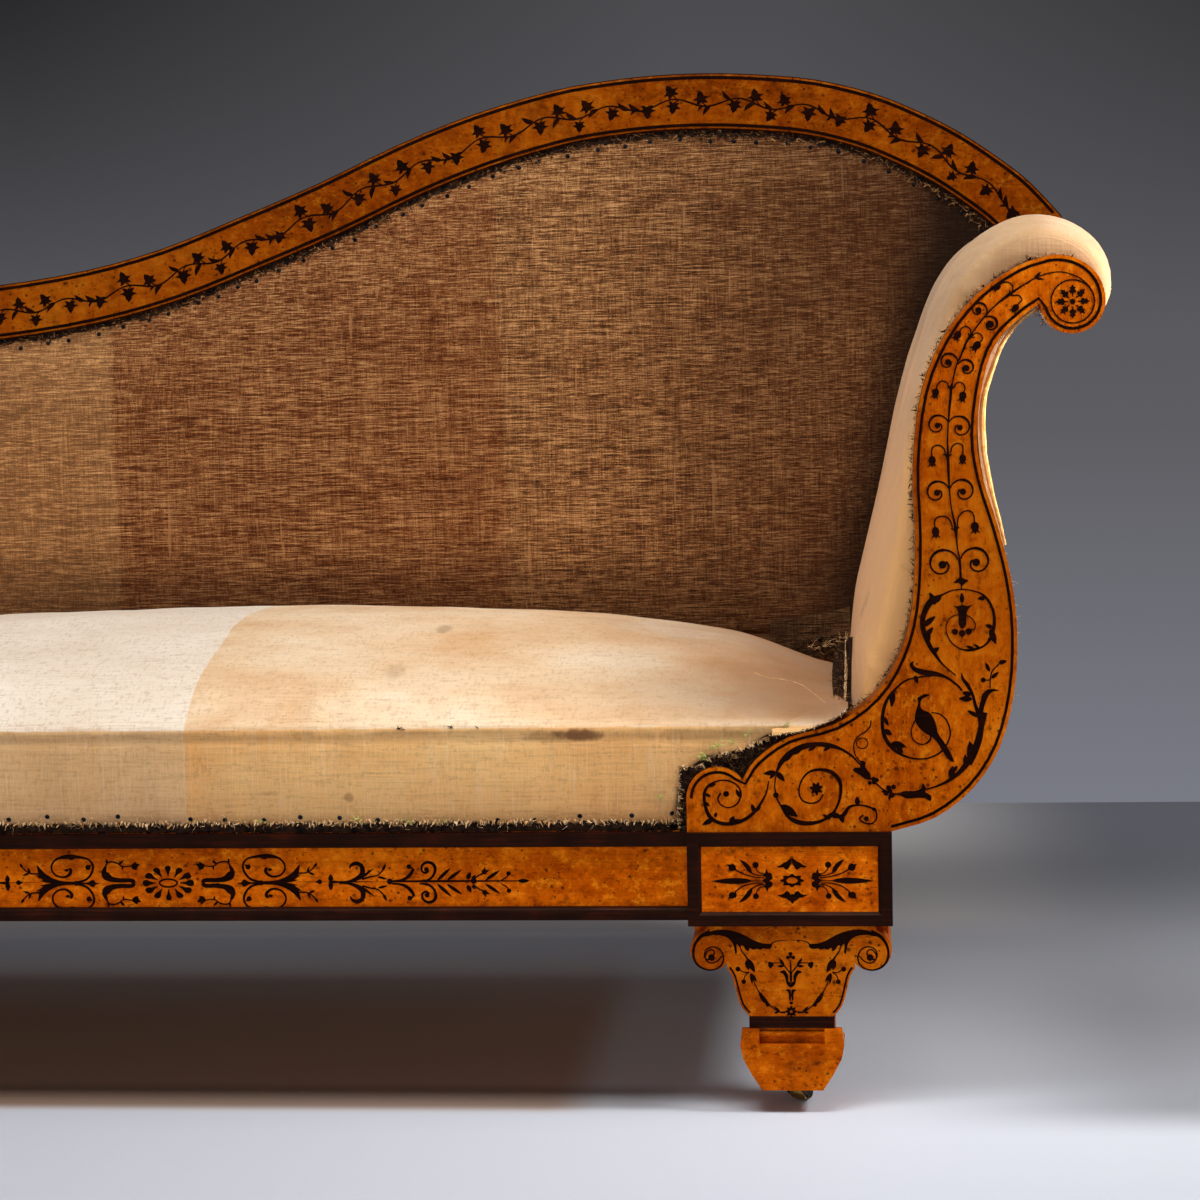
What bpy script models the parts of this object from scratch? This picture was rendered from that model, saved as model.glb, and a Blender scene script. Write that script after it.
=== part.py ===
"""Meridienne of about 1825: a veneered frame on four volute legs with casters, a tall scrolled head end,
a lower scrolled foot end, a curved crest rail and undone upholstery. Metres, +Z up, front towards -Y."""

import math

import bmesh
import bpy
from mathutils import Vector

# Layout
GAP = 0.0003
LEG_PITCH = 1.139
DEPTH = 0.660
BACK_HEIGHT = 0.700
OVERRUN = 0.010
WELD_DISTANCE = 0.00001
EDGE_SOFTENING = 0.0015
CLEAR_SHARE = 0.95
ROUND_STEPS = 24
ROLL_STEPS = 16

# Casters
WHEEL_RADIUS = 0.008
WHEEL_END_RADIUS = 0.0068
WHEEL_WIDTH = 0.015
WHEEL_RECESS = 0.0014
WHEEL_HUB_RADIUS = 0.0034
WHEEL_HEADROOM = 0.0005
AXLE_RADIUS = 0.0015
RUNNING_CLEARANCE = 0.0001
CASTER_TRAIL = 0.012
CHEEK_THICKNESS = 0.0022
CHEEK_END_RADIUS = 0.0048
CHEEK_SIDE_PLAY = 0.0006
HORN_CROWN = 0.0022
HORN_NOSE = 0.009
STEM_RADIUS = 0.0032
PLATE_RADIUS = 0.016
PLATE_THICKNESS = 0.0022
CASTER_REST_ANGLE = math.radians(60)

# Feet, necks and volute legs
FOOT_HEIGHT = 0.0565
FOOT_WIDTH = 0.094
FOOT_DEPTH = 0.074
FOOT_NOTCH_WIDTH = 0.059
FOOT_NOTCH_HEIGHT = 0.0145
FOOT_NOTCH_DEPTH = 0.008
FOOT_ROLL_RADIUS = 0.0028
NECK_WIDTH = 0.077
NECK_HEIGHT = 0.0115
NECK_DEPTH = 0.066
LEG_HEIGHT = 0.083
LEG_DEPTH = 0.074
LEG_FACE_THICKNESS = 0.024
VOLUTE_RADIUS = 0.0187
VOLUTE_PITCH = 0.144
VOLUTE_DROP = 0.0225
LEG_CAP_WIDTH = 0.176
LEG_CAP_HEIGHT = 0.016
FACE_SETBACK = 0.004

# Corner blocks and their mitred frames
BLOCK_WIDTH = 0.184
BLOCK_HEIGHT = 0.085
BLOCK_DEPTH = 0.080
BLOCK_FRAME_BAND = 0.0125
BLOCK_FRAME_THICKNESS = 0.008
BLOCK_PANEL_SETBACK = 0.0025

# Seat rails and mouldings
RAIL_HEIGHT = 0.080
RAIL_THICKNESS = 0.032
RAIL_SETBACK = 0.012
END_RAIL_THICKNESS = 0.045
END_RAIL_INSET = 0.006
TOP_MOULDING_HEIGHT = 0.0135
LOW_MOULDING_HEIGHT = 0.0115
MOULDING_PROJECTION = 0.008
MOULDING_ROUND_SHARE = 0.7
BRACE_WIDTH = 0.045
BRACE_HEIGHT = 0.050
BRACE_DROP = 0.008

# Scrolled arm boards
ARM_BOARD_THICKNESS = 0.034
ARM_FOOT_HALF = 0.0915
ARM_REACH = 0.2548
BULB_HEIGHT = 0.23571 * BACK_HEIGHT
HEAD_STEM_HEIGHT = 0.43386 * BACK_HEIGHT
FOOT_STEM_HEIGHT = 0.32671 * BACK_HEIGHT
EYE_RADIUS = 0.0284
SCROLL_GROWTH = 0.43
SCROLL_GROWTH_ANGLE = math.radians(101)
SCROLL_START_ANGLE = math.radians(117)
SCROLL_END_ANGLE = math.radians(-177)
LOBE_RADIUS = 0.028
LOBE_RISE = 0.031
LOBE_END_ANGLE = math.radians(36)
REAR_NOSE_ANGLE = math.radians(15)
ROLL_RAIL_RADIUS = 0.013
ROLL_RAIL_RISE = 0.011

# Back frame
BACK_THICKNESS = 0.038
BACK_REAR_SETBACK = 0.012
REAR_BOARD_THICKNESS = 0.038
TONGUE_WIDTH = 0.018
TONGUE_THICKNESS = 0.028
TONGUE_REAR_STEP = 0.001
TONGUE_FADE_POINTS = 6
TONGUE_TAPER = 4
CREST_WIDTH = 0.061
CREST_EDGE_ROUND = 0.003
CREST_END_OVERHANG = 0.004
CREST_END_RISE = 0.008
BACK_RAIL_HEIGHT = 0.040
BACK_RAIL_RISE = 0.105
MUNTIN_WIDTH = 0.045
MUNTIN_X = 0.160
MUNTIN_TOP_STEPS = 6

# Upholstery
WEB_THICKNESS = 0.0025
WEB_WIDTH = 0.055
WEB_COUNT = 11
WEB_PITCH = 0.112
LONG_WEB_COUNT = 4
LONG_WEB_PITCH = 0.120
WEB_SHORT_INSET = 0.0025
WEB_LAP = 0.024
SEAT_FRONT_HEIGHT = 0.0955
SEAT_CROWN = 0.070
SEAT_END_FALL_SHARE = 0.60
SEAT_REAR_SHARE = 0.42
SEAT_CORNER_DROP = 0.030
SEAT_REAR_CLEARANCE = 0.018
SEAT_FRONT_SETBACK = 0.0065
SEAT_SIDE_CLEARANCE = 0.0025
SEAT_DRAW_IN = 0.004
SEAT_ARM_GAP = 0.007
SEAT_SWELL_SHARE = 3.3
SEAT_BORDER_SHARES = (0.25, 0.75)
SEAT_ROWS_SHARES = (0, 0.02, 0.06, 0.12, 0.22, 0.35, 0.5, 0.65, 0.8, 0.92, 1)
SEAT_COLUMNS_SHARES = (0, 0.12, 0.24, 0.36, 0.48, 0.6, 0.7, 0.79, 0.87, 0.94, 0.98, 1)
SEAT_CUT_POINTS = 15
ARM_PAD_HALF = 0.028
PAD_END_SHARE = 0.62
PAD_SWELL_POWER = 6
PAD_STATION_SHARES = (0, 0.02, 0.06, 0.14, 0.3, 0.5, 0.7, 0.86, 0.94, 0.98, 1)
ARM_COVER_HALF = 0.0025
ARM_COVER_SWELL = 0.0015
COVER_STATION_SHARES = (0, 0.06, 0.25, 0.5, 0.75, 0.94, 1)
CANVAS_EDGE = 0.004
CANVAS_CROWN = 0.020
CANVAS_EDGE_CLEARANCE = 0.0008
CANVAS_CORNER = 0.006
CANVAS_BOTTOM_RISE = 0.114
CANVAS_RING_SHARES = (1, 0.97, 0.88, 0.7, 0.4)
CANVAS_SWELL_POWER = 0.75
CANVAS_CENTRE_SHARES = (0.09, 0.42)
REAR_COVER_THICKNESS = 0.003
REAR_COVER_LAP = 0.024

# Heights that follow from the stack of pieces, floor upwards
AXLE_Z = WHEEL_RADIUS
HORN_BOTTOM = 2 * WHEEL_RADIUS + WHEEL_HEADROOM
HORN_TOP = HORN_BOTTOM + HORN_CROWN
PLATE_BOTTOM = HORN_TOP + GAP
PLATE_TOP = PLATE_BOTTOM + PLATE_THICKNESS
FOOT_BOTTOM = PLATE_TOP + GAP
FOOT_TOP = FOOT_BOTTOM + FOOT_HEIGHT
NECK_BOTTOM = FOOT_TOP + GAP
NECK_TOP = NECK_BOTTOM + NECK_HEIGHT
LEG_BOTTOM = NECK_TOP + GAP
LEG_TOP = LEG_BOTTOM + LEG_HEIGHT
BLOCK_BOTTOM = LEG_TOP + GAP
BLOCK_TOP = BLOCK_BOTTOM + BLOCK_HEIGHT
ARM_BASE = BLOCK_TOP + GAP
WEB_TOP = ARM_BASE + WEB_THICKNESS
SEAT_BOTTOM = WEB_TOP + GAP

# Planes across the depth
FRONT = -DEPTH / 2
REAR = DEPTH / 2
BLOCK_FACE = FRONT + BLOCK_PANEL_SETBACK
BLOCK_INNER = FRONT + BLOCK_DEPTH
ARM_FACE = FRONT + FACE_SETBACK
ARM_BACK = ARM_FACE + ARM_BOARD_THICKNESS
RAIL_FACE = FRONT + RAIL_SETBACK
RAIL_BACK = RAIL_FACE + RAIL_THICKNESS
BACK_REAR = REAR - BACK_REAR_SETBACK
CREST_FACE = BACK_REAR - BACK_THICKNESS
TONGUE_FACE = BACK_REAR - TONGUE_THICKNESS
REAR_BOARD_FACE = BACK_REAR - REAR_BOARD_THICKNESS
CREST_END = LEG_PITCH / 2 + ARM_REACH + EYE_RADIUS + CREST_END_OVERHANG
PAD_FRONT = ARM_BACK + GAP
PAD_REAR = REAR_BOARD_FACE - GAP

# Planes along the length
LEG_X = LEG_PITCH / 2
BLOCK_INNER_X = LEG_X - BLOCK_WIDTH / 2
BLOCK_OUTER_X = LEG_X + BLOCK_WIDTH / 2
END_RAIL_OUTER = BLOCK_OUTER_X - END_RAIL_INSET
END_RAIL_INNER = END_RAIL_OUTER - END_RAIL_THICKNESS

# Points of the arm, each in the zone that carries it: the bulb and the stem in shares of the reach and of
# that zone's height, the scroll in shares of the eye's radius about its centre
INNER_EDGE_SHARES = (
    ("bulb", -0.112, 0.398),
    ("bulb", 0.002, 0.519),
    ("bulb", 0.171, 0.592),
    ("bulb", 0.308, 0.744),
    ("bulb", 0.394, 0.956),
    ("stem", 0.441, 0.118),
    ("stem", 0.455, 0.318),
    ("stem", 0.449, 0.532),
    ("stem", 0.481, 0.746),
    ("scroll", -3.95, -1.02),
    ("scroll", -2.93, 0.25),
    ("scroll", -1.70, 1.09),
)
OUTER_EDGE_SHARES = (
    ("scroll", -1.60, -0.48),
    ("scroll", -2.34, -1.23),
    ("stem", 0.693, 0.779),
    ("stem", 0.669, 0.621),
    ("stem", 0.689, 0.493),
    ("stem", 0.740, 0.351),
    ("stem", 0.783, 0.203),
    ("stem", 0.803, 0.045),
    ("bulb", 0.791, 0.756),
    ("bulb", 0.740, 0.459),
    ("bulb", 0.646, 0.235),
    ("bulb", 0.512, 0.074),
)
REAR_NOSE_SHARES = (
    ("scroll", 0.86, 0.14),
    ("scroll", 0.55, 0.12),
    ("scroll", 0.10, 0.02),
    ("scroll", -0.50, -0.14),
    ("scroll", -1.10, -0.31),
)
PAD_LINE_SHARES = (
    ("bulb", 0.253, 0.000),
    ("bulb", 0.253, 0.374),
    ("bulb", 0.273, 0.677),
    ("bulb", 0.308, 0.889),
    ("stem", 0.353, 0.035),
    ("stem", 0.403, 0.252),
    ("stem", 0.424, 0.400),
    ("stem", 0.446, 0.564),
    ("stem", 0.485, 0.737),
    ("scroll", -3.92, -0.94),
    ("scroll", -3.26, 0.41),
    ("scroll", -2.47, 1.26),
    ("scroll", -1.56, 1.83),
    ("scroll", -0.63, 1.98),
    ("scroll", 0.26, 1.66),
    ("scroll", 0.83, 1.14),
    ("scroll", 1.07, 0.34),
    ("scroll", 0.88, -0.41),
)
PAD_HALF_SHARES = (
    0.29, 0.32, 0.50, 0.79, 0.94, 0.81, 0.63, 0.43, 0.36, 0.48,
    0.71, 0.88, 1.00, 0.94, 0.82, 0.67, 0.46, 0.31,
)
COVER_LINE_SHARES = (
    ("scroll", -0.64, 0.01),
    ("scroll", -1.21, -0.31),
    ("scroll", -1.67, -0.66),
    ("scroll", -1.98, -1.02),
    ("scroll", -2.34, -1.55),
    ("stem", 0.710, 0.779),
    ("stem", 0.693, 0.700),
    ("stem", 0.687, 0.621),
    ("stem", 0.695, 0.532),
    ("stem", 0.720, 0.427),
    ("stem", 0.748, 0.318),
    ("stem", 0.767, 0.213),
    ("stem", 0.785, 0.055),
    ("bulb", 0.775, 0.762),
    ("bulb", 0.724, 0.471),
    ("bulb", 0.634, 0.253),
    ("bulb", 0.504, 0.095),
    ("bulb", 0.402, 0.035),
)

# Centre line of the crest rail, each point in the zone that carries it: X in shares of the leg pitch over the
# span, and beyond the legs in shares of the arms' reach; Z in shares of the back's height over the blocks
CREST_LINE_SHARES = (
    ("reach", -1.100, 0.596),
    ("reach", -0.966, 0.641),
    ("reach", -0.747, 0.669),
    ("reach", -0.474, 0.682),
    ("reach", -0.161, 0.687),
    ("span", -0.448, 0.688),
    ("span", -0.366, 0.691),
    ("span", -0.285, 0.698),
    ("span", -0.194, 0.719),
    ("span", -0.113, 0.752),
    ("span", -0.034, 0.799),
    ("span", 0.045, 0.849),
    ("span", 0.126, 0.907),
    ("span", 0.199, 0.950),
    ("span", 0.272, 0.981),
    ("span", 0.321, 0.993),
    ("span", 0.368, 0.999),
    ("span", 0.415, 1.000),
    ("span", 0.461, 0.996),
    ("reach", 0.067, 0.986),
    ("reach", 0.295, 0.964),
    ("reach", 0.469, 0.937),
    ("reach", 0.639, 0.904),
    ("reach", 0.809, 0.861),
    ("reach", 0.921, 0.827),
    ("reach", 1.059, 0.771),
    ("reach", 1.149, 0.733),
)

# Front outline of the foot block from its widest corner down, in shares of its half width and height
FOOT_SIDE_SHARES = (
    (0.96, 1.00),
    (1.00, 0.73),
    (0.95, 0.52),
    (0.78, 0.25),
    (0.58, 0.00),
)

# Outline of the volute leg from the volute's lower end to the neck, X in shares of half the volute pitch
# and Z in shares of the leg's height
LEG_NECK_SHARES = (
    (0.80, 0.535),
    (0.735, 0.435),
    (0.69, 0.270),
    (0.64, 0.125),
    (0.57, 0.040),
    (0.52, 0.000),
)
VOLUTE_END_ANGLE = math.radians(-52)
VOLUTE_START_ANGLE = math.radians(72)

# Colour, roughness and metallic value of each finish
LOOKS = {
    "maple": ((0.62, 0.24, 0.045), 0.35, 0.0),
    "amaranth": ((0.035, 0.008, 0.006), 0.35, 0.0),
    "beech": ((0.42, 0.26, 0.13), 0.70, 0.0),
    "foot": ((0.45, 0.17, 0.04), 0.45, 0.0),
    "calico": ((0.78, 0.58, 0.38), 0.90, 0.0),
    "canvas": ((0.24, 0.13, 0.06), 0.95, 0.0),
    "webbing": ((0.50, 0.38, 0.24), 0.90, 0.0),
    "iron": ((0.03, 0.03, 0.035), 0.45, 0.9),
    "brass": ((0.55, 0.40, 0.16), 0.30, 1.0),
}


def clear_scene():
    for old in list(bpy.data.objects):
        bpy.data.objects.remove(old, do_unlink=True)


def make_collection(name):
    found = bpy.data.collections.new(name)
    bpy.context.scene.collection.children.link(found)
    return found


clear_scene()
PARTS = make_collection("Meridienne")
CUTTERS = make_collection("Meridienne cutters")
CUTTERS.hide_render = True


# Shared modelling helpers


def give_material(obj, look):
    colour, roughness, metallic = LOOKS[look]
    material = bpy.data.materials.new(obj.name)
    material.use_nodes = True
    shader = material.node_tree.nodes["Principled BSDF"]
    shader.inputs["Base Color"].default_value = (*colour, 1)
    shader.inputs["Roughness"].default_value = roughness
    shader.inputs["Metallic"].default_value = metallic
    obj.data.materials.clear()
    obj.data.materials.append(material)


def place(obj, look, parent=None):
    """Puts a finished piece in the parts' collection, with its material and its parent."""
    for held in list(obj.users_collection):
        held.objects.unlink(obj)
    PARTS.objects.link(obj)
    give_material(obj, look)
    if obj.type == "MESH":
        obj.data.shade_smooth()
        obj.data.set_sharp_from_angle(angle=math.radians(32))
    if parent:
        obj.parent = parent
    return obj


def hide_helper(obj):
    for held in list(obj.users_collection):
        held.objects.unlink(obj)
    CUTTERS.objects.link(obj)
    obj.hide_render = True
    obj.display_type = "WIRE"
    return obj


def mesh_object(name, bm):
    bm.normal_update()
    bmesh.ops.recalc_face_normals(bm, faces=bm.faces)
    mesh = bpy.data.meshes.new(name)
    bm.to_mesh(mesh)
    bm.free()
    obj = bpy.data.objects.new(name, mesh)
    bpy.context.scene.collection.objects.link(obj)
    return obj


def box(name, low, high):
    bm = bmesh.new()
    bmesh.ops.create_cube(bm, size=1)
    centre = [(a + b) / 2 for a, b in zip(low, high)]
    for vert in bm.verts:
        vert.co = Vector(c + p * (b - a) for c, p, a, b in zip(centre, vert.co, low, high))
    return mesh_object(name, bm)


def cylinder(name, radius, low, high, centre, axis="Z", segments=ROUND_STEPS):
    """A cylinder along X, Y or Z from low to high, its axis through the centre's other two coordinates."""
    bm = bmesh.new()
    bmesh.ops.create_cone(
        bm, cap_ends=True, segments=segments, radius1=radius, radius2=radius, depth=high - low
    )
    for vert in bm.verts:
        x, y, z = vert.co
        along = z + (low + high) / 2
        if axis == "Z":
            vert.co = (centre[0] + x, centre[1] + y, along)
        elif axis == "Y":
            vert.co = (centre[0] + x, along, centre[1] + y)
        else:
            vert.co = (along, centre[0] + x, centre[1] + y)
    return mesh_object(name, bm)


def to_mesh(obj):
    """The mesh that a curve draws, as an object of its own, with its caps welded."""
    bpy.context.view_layer.update()
    graph = bpy.context.evaluated_depsgraph_get()
    mesh = bpy.data.meshes.new_from_object(obj.evaluated_get(graph))
    bm = bmesh.new()
    bm.from_mesh(mesh)
    bmesh.ops.remove_doubles(bm, verts=bm.verts, dist=WELD_DISTANCE)
    made = mesh_object(obj.name + " solid", bm)
    made.matrix_world = obj.matrix_world
    name = obj.name
    bpy.data.objects.remove(obj, do_unlink=True)
    made.name = name
    made.data.name = name
    return made


def outline_curve(name, points, low, high, plane="XZ"):
    """A flat outline with thickness: in XZ it runs from low to high in Y, in YZ from low to high in X."""
    curve = bpy.data.curves.new(name, "CURVE")
    curve.dimensions = "2D"
    curve.fill_mode = "BOTH"
    curve.extrude = (high - low) / 2
    spline = curve.splines.new("POLY")
    spline.points.add(len(points) - 1)
    for held, point in zip(spline.points, points):
        held.co = (point[0], point[1], 0, 1)
    spline.use_cyclic_u = True
    obj = bpy.data.objects.new(name, curve)
    bpy.context.scene.collection.objects.link(obj)
    middle = (low + high) / 2
    if plane == "XZ":
        obj.rotation_euler = (math.pi / 2, 0, 0)
        obj.location = (0, middle, 0)
    else:
        obj.rotation_euler = (math.pi / 2, 0, math.pi / 2)
        obj.location = (middle, 0, 0)
    return obj


def outline_solid(name, points, low, high, plane="XZ"):
    return to_mesh(outline_curve(name, points, low, high, plane))


def combine(obj, other, operation):
    modifier = obj.modifiers.new(operation.title() + " " + other.name, "BOOLEAN")
    modifier.operation = operation
    modifier.solver = "EXACT"
    modifier.object = other
    hide_helper(other)
    return obj


def cut(obj, cutter):
    return combine(obj, cutter, "DIFFERENCE")


def join(obj, other):
    return combine(obj, other, "UNION")


def round_edges(obj, width, segments=1):
    modifier = obj.modifiers.new("Soft edges", "BEVEL")
    modifier.width = width
    modifier.segments = segments
    modifier.limit_method = "ANGLE"
    modifier.angle_limit = math.radians(40)
    return obj


# Plane curves


def smooth_path(keys, steps):
    """Points of a Catmull-Rom curve through the keys, with this many steps between two keys."""
    before = [2 * keys[0][i] - keys[1][i] for i in range(2)]
    after = [2 * keys[-1][i] - keys[-2][i] for i in range(2)]
    held = [before, *keys, after]
    path = []
    for a, b, c, d in zip(held, held[1:], held[2:], held[3:]):
        for step in range(steps):
            t = step / steps
            path.append(
                tuple(
                    b[i]
                    + (c[i] - a[i]) * t / 2
                    + (a[i] - 5 * b[i] / 2 + 2 * c[i] - d[i] / 2) * t**2
                    + (3 * b[i] / 2 - 3 * c[i] / 2 + d[i] / 2 - a[i] / 2) * t**3
                    for i in range(2)
                )
            )
    path.append(tuple(keys[-1]))
    return path


def smooth_values(values, steps):
    return [value for value, _ in smooth_path([(value, 0) for value in values], steps)]


def arc(centre, radius, start, end, count):
    return [
        (
            centre[0] + radius * math.cos(start + (end - start) * i / count),
            centre[1] + radius * math.sin(start + (end - start) * i / count),
        )
        for i in range(count + 1)
    ]


def normals(path):
    """Unit normals on the left of the path's direction."""
    found = []
    for i in range(len(path)):
        a = path[max(i - 1, 0)]
        b = path[min(i + 1, len(path) - 1)]
        length = math.hypot(b[0] - a[0], b[1] - a[1])
        found.append((-(b[1] - a[1]) / length, (b[0] - a[0]) / length))
    return found


def offset_path(path, distances):
    return [
        (p[0] + n[0] * d, p[1] + n[1] * d)
        for p, n, d in zip(path, normals(path), distances)
    ]


def distance_to_path(point, path):
    nearest = math.inf
    for a, b in zip(path, path[1:]):
        run = (b[0] - a[0], b[1] - a[1])
        length = run[0] ** 2 + run[1] ** 2
        along = ((point[0] - a[0]) * run[0] + (point[1] - a[1]) * run[1]) / length if length else 0
        along = min(max(along, 0), 1)
        gap = math.hypot(point[0] - a[0] - along * run[0], point[1] - a[1] - along * run[1])
        nearest = min(nearest, gap)
    return nearest


def clear_offset(path, distance):
    """The offset path without the points that inner corners would fold over."""
    found = offset_path(path, [distance] * len(path))
    return [p for p in found if distance_to_path(p, path) > abs(distance) * CLEAR_SHARE]


def mirrored(points, side):
    """The points at the head end for side 1, and their mirror image at the foot end for side -1."""
    return [(side * x, z) for x, z in points]


# Arm outlines, in the head end's place: the foot end is their mirror image with a shorter stem


def eye_centre(stem):
    return (LEG_X + ARM_REACH, ARM_BASE + BULB_HEIGHT + stem)


def arm_points(shares, stem):
    eye = eye_centre(stem)
    zones = {
        "bulb": (LEG_X, ARM_BASE, ARM_REACH, BULB_HEIGHT),
        "stem": (LEG_X, ARM_BASE + BULB_HEIGHT, ARM_REACH, stem),
        "scroll": (*eye, EYE_RADIUS, EYE_RADIUS),
    }
    found = []
    for zone, across, up in shares:
        x, z, width, height = zones[zone]
        found.append((x + across * width, z + up * height))
    return found


def scroll_radius(angle):
    if angle < 0:
        return EYE_RADIUS
    return EYE_RADIUS * (1 + SCROLL_GROWTH * (angle / SCROLL_GROWTH_ANGLE) ** 2)


def scroll_outline(stem, end=SCROLL_END_ANGLE, count=30):
    """The scroll's edge, winding in from its top to the notch under it, or as far as the end angle."""
    x, z = eye_centre(stem)
    found = []
    for i in range(count + 1):
        angle = SCROLL_START_ANGLE + (end - SCROLL_START_ANGLE) * i / count
        radius = scroll_radius(angle)
        found.append((x + radius * math.cos(angle), z + radius * math.sin(angle)))
    return found


def lobe_outline():
    centre = (LEG_X - ARM_FOOT_HALF + LOBE_RADIUS, ARM_BASE + LOBE_RISE)
    return arc(centre, LOBE_RADIUS, math.pi, LOBE_END_ANGLE, 12)


def inner_edge(stem, steps=3):
    """The S curve that faces the seat, from the small lobe to the top of the scroll."""
    start = [lobe_outline()[-1]]
    end = [scroll_outline(stem)[0]]
    return smooth_path(start + arm_points(INNER_EDGE_SHARES, stem) + end, steps)


def outer_edge(stem, steps=3):
    start = [scroll_outline(stem)[-1]]
    end = [(LEG_X + ARM_FOOT_HALF, ARM_BASE)]
    return smooth_path(start + arm_points(OUTER_EDGE_SHARES, stem) + end, steps)


def arm_outline(stem):
    corner = [(LEG_X - ARM_FOOT_HALF, ARM_BASE)]
    lobe = lobe_outline()
    inner = inner_edge(stem)
    scroll = scroll_outline(stem)
    outer = outer_edge(stem)
    return corner + lobe + inner[1:] + scroll[1:] + outer[1:]


def rear_arm_outline(stem):
    """The rear board has no eye: its top ends in a plain nose, under which the roll stays open."""
    corner = [(LEG_X - ARM_FOOT_HALF, ARM_BASE)]
    top = scroll_outline(stem, REAR_NOSE_ANGLE, 15)
    keys = arm_points(REAR_NOSE_SHARES + OUTER_EDGE_SHARES, stem)
    under = smooth_path([top[-1]] + keys + [(LEG_X + ARM_FOOT_HALF, ARM_BASE)], 3)
    return corner + lobe_outline() + inner_edge(stem)[1:] + top[1:] + under[1:]


def crest_line(steps=3):
    keys = []
    for zone, across, up in CREST_LINE_SHARES:
        x = across * LEG_PITCH if zone == "span" else math.copysign(LEG_X, across) + across * ARM_REACH
        keys.append((x, BLOCK_TOP + up * BACK_HEIGHT))
    return smooth_path(keys, steps)


def crest_offset(distance):
    line = crest_line()
    return offset_path(line, [distance] * len(line))


def height_at(path, x):
    """Height of a path that runs in +X, at this X."""
    for (x0, z0), (x1, z1) in zip(path, path[1:]):
        if x0 <= x <= x1:
            return z0 + (z1 - z0) * (x - x0) / (x1 - x0)
    raise ValueError("the path doesn't reach this X")


# Casters, built on an empty at the swivel axis, trailing along its +X


def caster_empty(name, x, y):
    empty = bpy.data.objects.new(name, None)
    PARTS.objects.link(empty)
    empty.location = (x, y, 0)
    empty.rotation_euler = (0, 0, CASTER_REST_ANGLE)
    return empty


def caster_plate(name):
    plate = cylinder(name, PLATE_RADIUS, PLATE_BOTTOM, PLATE_TOP, (0, 0))
    bore = cylinder(
        name + " bore",
        STEM_RADIUS + RUNNING_CLEARANCE,
        PLATE_BOTTOM - OVERRUN,
        PLATE_TOP + OVERRUN,
        (0, 0),
    )
    return cut(plate, bore), bore


def horn_outline():
    """Side view of the horn: a flat crown over the wheel, and cheeks that round off below the axle."""
    end = arc((CASTER_TRAIL, AXLE_Z), CHEEK_END_RADIUS, -math.pi * 0.75, math.pi * 0.25, 10)
    nose = arc((-HORN_NOSE / 2, HORN_BOTTOM), HORN_CROWN / 2, math.pi, math.pi * 1.5, 3)
    return [(-HORN_NOSE, HORN_TOP), (-HORN_NOSE, HORN_BOTTOM)] + nose + end + [
        (CASTER_TRAIL + CHEEK_END_RADIUS, HORN_TOP)
    ]


def caster_horn(name):
    slot_half = WHEEL_WIDTH / 2 + CHEEK_SIDE_PLAY
    half = slot_half + CHEEK_THICKNESS
    horn = outline_solid(name, horn_outline(), -half, half)
    slot = box(
        name + " slot",
        (-HORN_NOSE - OVERRUN, -slot_half, -OVERRUN),
        (CASTER_TRAIL + OVERRUN, slot_half, HORN_BOTTOM),
    )
    bore = cylinder(
        name + " axle bore",
        AXLE_RADIUS + GAP,
        -half - OVERRUN,
        half + OVERRUN,
        (CASTER_TRAIL, AXLE_Z),
        "Y",
    )
    stem = cylinder(
        name + " stem", STEM_RADIUS, HORN_TOP - HORN_CROWN / 2, PLATE_TOP - GAP, (0, 0)
    )
    for cutter in (slot, bore):
        cut(horn, cutter)
    join(horn, stem)
    return horn, (slot, bore, stem)


def caster_axle(name):
    half = WHEEL_WIDTH / 2 + CHEEK_SIDE_PLAY + CHEEK_THICKNESS
    return cylinder(name, AXLE_RADIUS, -half, half, (CASTER_TRAIL, AXLE_Z), "Y")


def caster_wheel(name):
    """A brass barrel: a turned profile on its axle's line, with hollowed ends and a bore."""
    half = WHEEL_WIDTH / 2
    bore = AXLE_RADIUS + RUNNING_CLEARANCE
    rim = WHEEL_END_RADIUS - WHEEL_RECESS
    profile = (
        (bore, half),
        (WHEEL_HUB_RADIUS, half),
        (WHEEL_HUB_RADIUS + WHEEL_RECESS, half - WHEEL_RECESS),
        (rim, half - WHEEL_RECESS),
        (WHEEL_END_RADIUS, half),
        ((WHEEL_END_RADIUS + WHEEL_RADIUS) / 2, half / 2),
        (WHEEL_RADIUS, half / 6),
        (WHEEL_RADIUS, -half / 6),
        ((WHEEL_END_RADIUS + WHEEL_RADIUS) / 2, -half / 2),
        (WHEEL_END_RADIUS, -half),
        (rim, -half + WHEEL_RECESS),
        (WHEEL_HUB_RADIUS + WHEEL_RECESS, -half + WHEEL_RECESS),
        (WHEEL_HUB_RADIUS, -half),
        (bore, -half),
    )
    bm = bmesh.new()
    verts = [bm.verts.new((radius, 0, along)) for radius, along in profile]
    for a, b in zip(verts, verts[1:] + verts[:1]):
        bm.edges.new((a, b))
    mesh = bpy.data.meshes.new(name)
    bm.to_mesh(mesh)
    bm.free()
    wheel = bpy.data.objects.new(name, mesh)
    bpy.context.scene.collection.objects.link(wheel)
    screw = wheel.modifiers.new("Turned", "SCREW")
    screw.steps = ROUND_STEPS
    screw.render_steps = ROUND_STEPS
    screw.use_merge_vertices = True
    screw.merge_threshold = WELD_DISTANCE
    wheel.rotation_euler = (math.pi / 2, 0, 0)
    wheel.location = (CASTER_TRAIL, 0, AXLE_Z)
    return wheel


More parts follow.
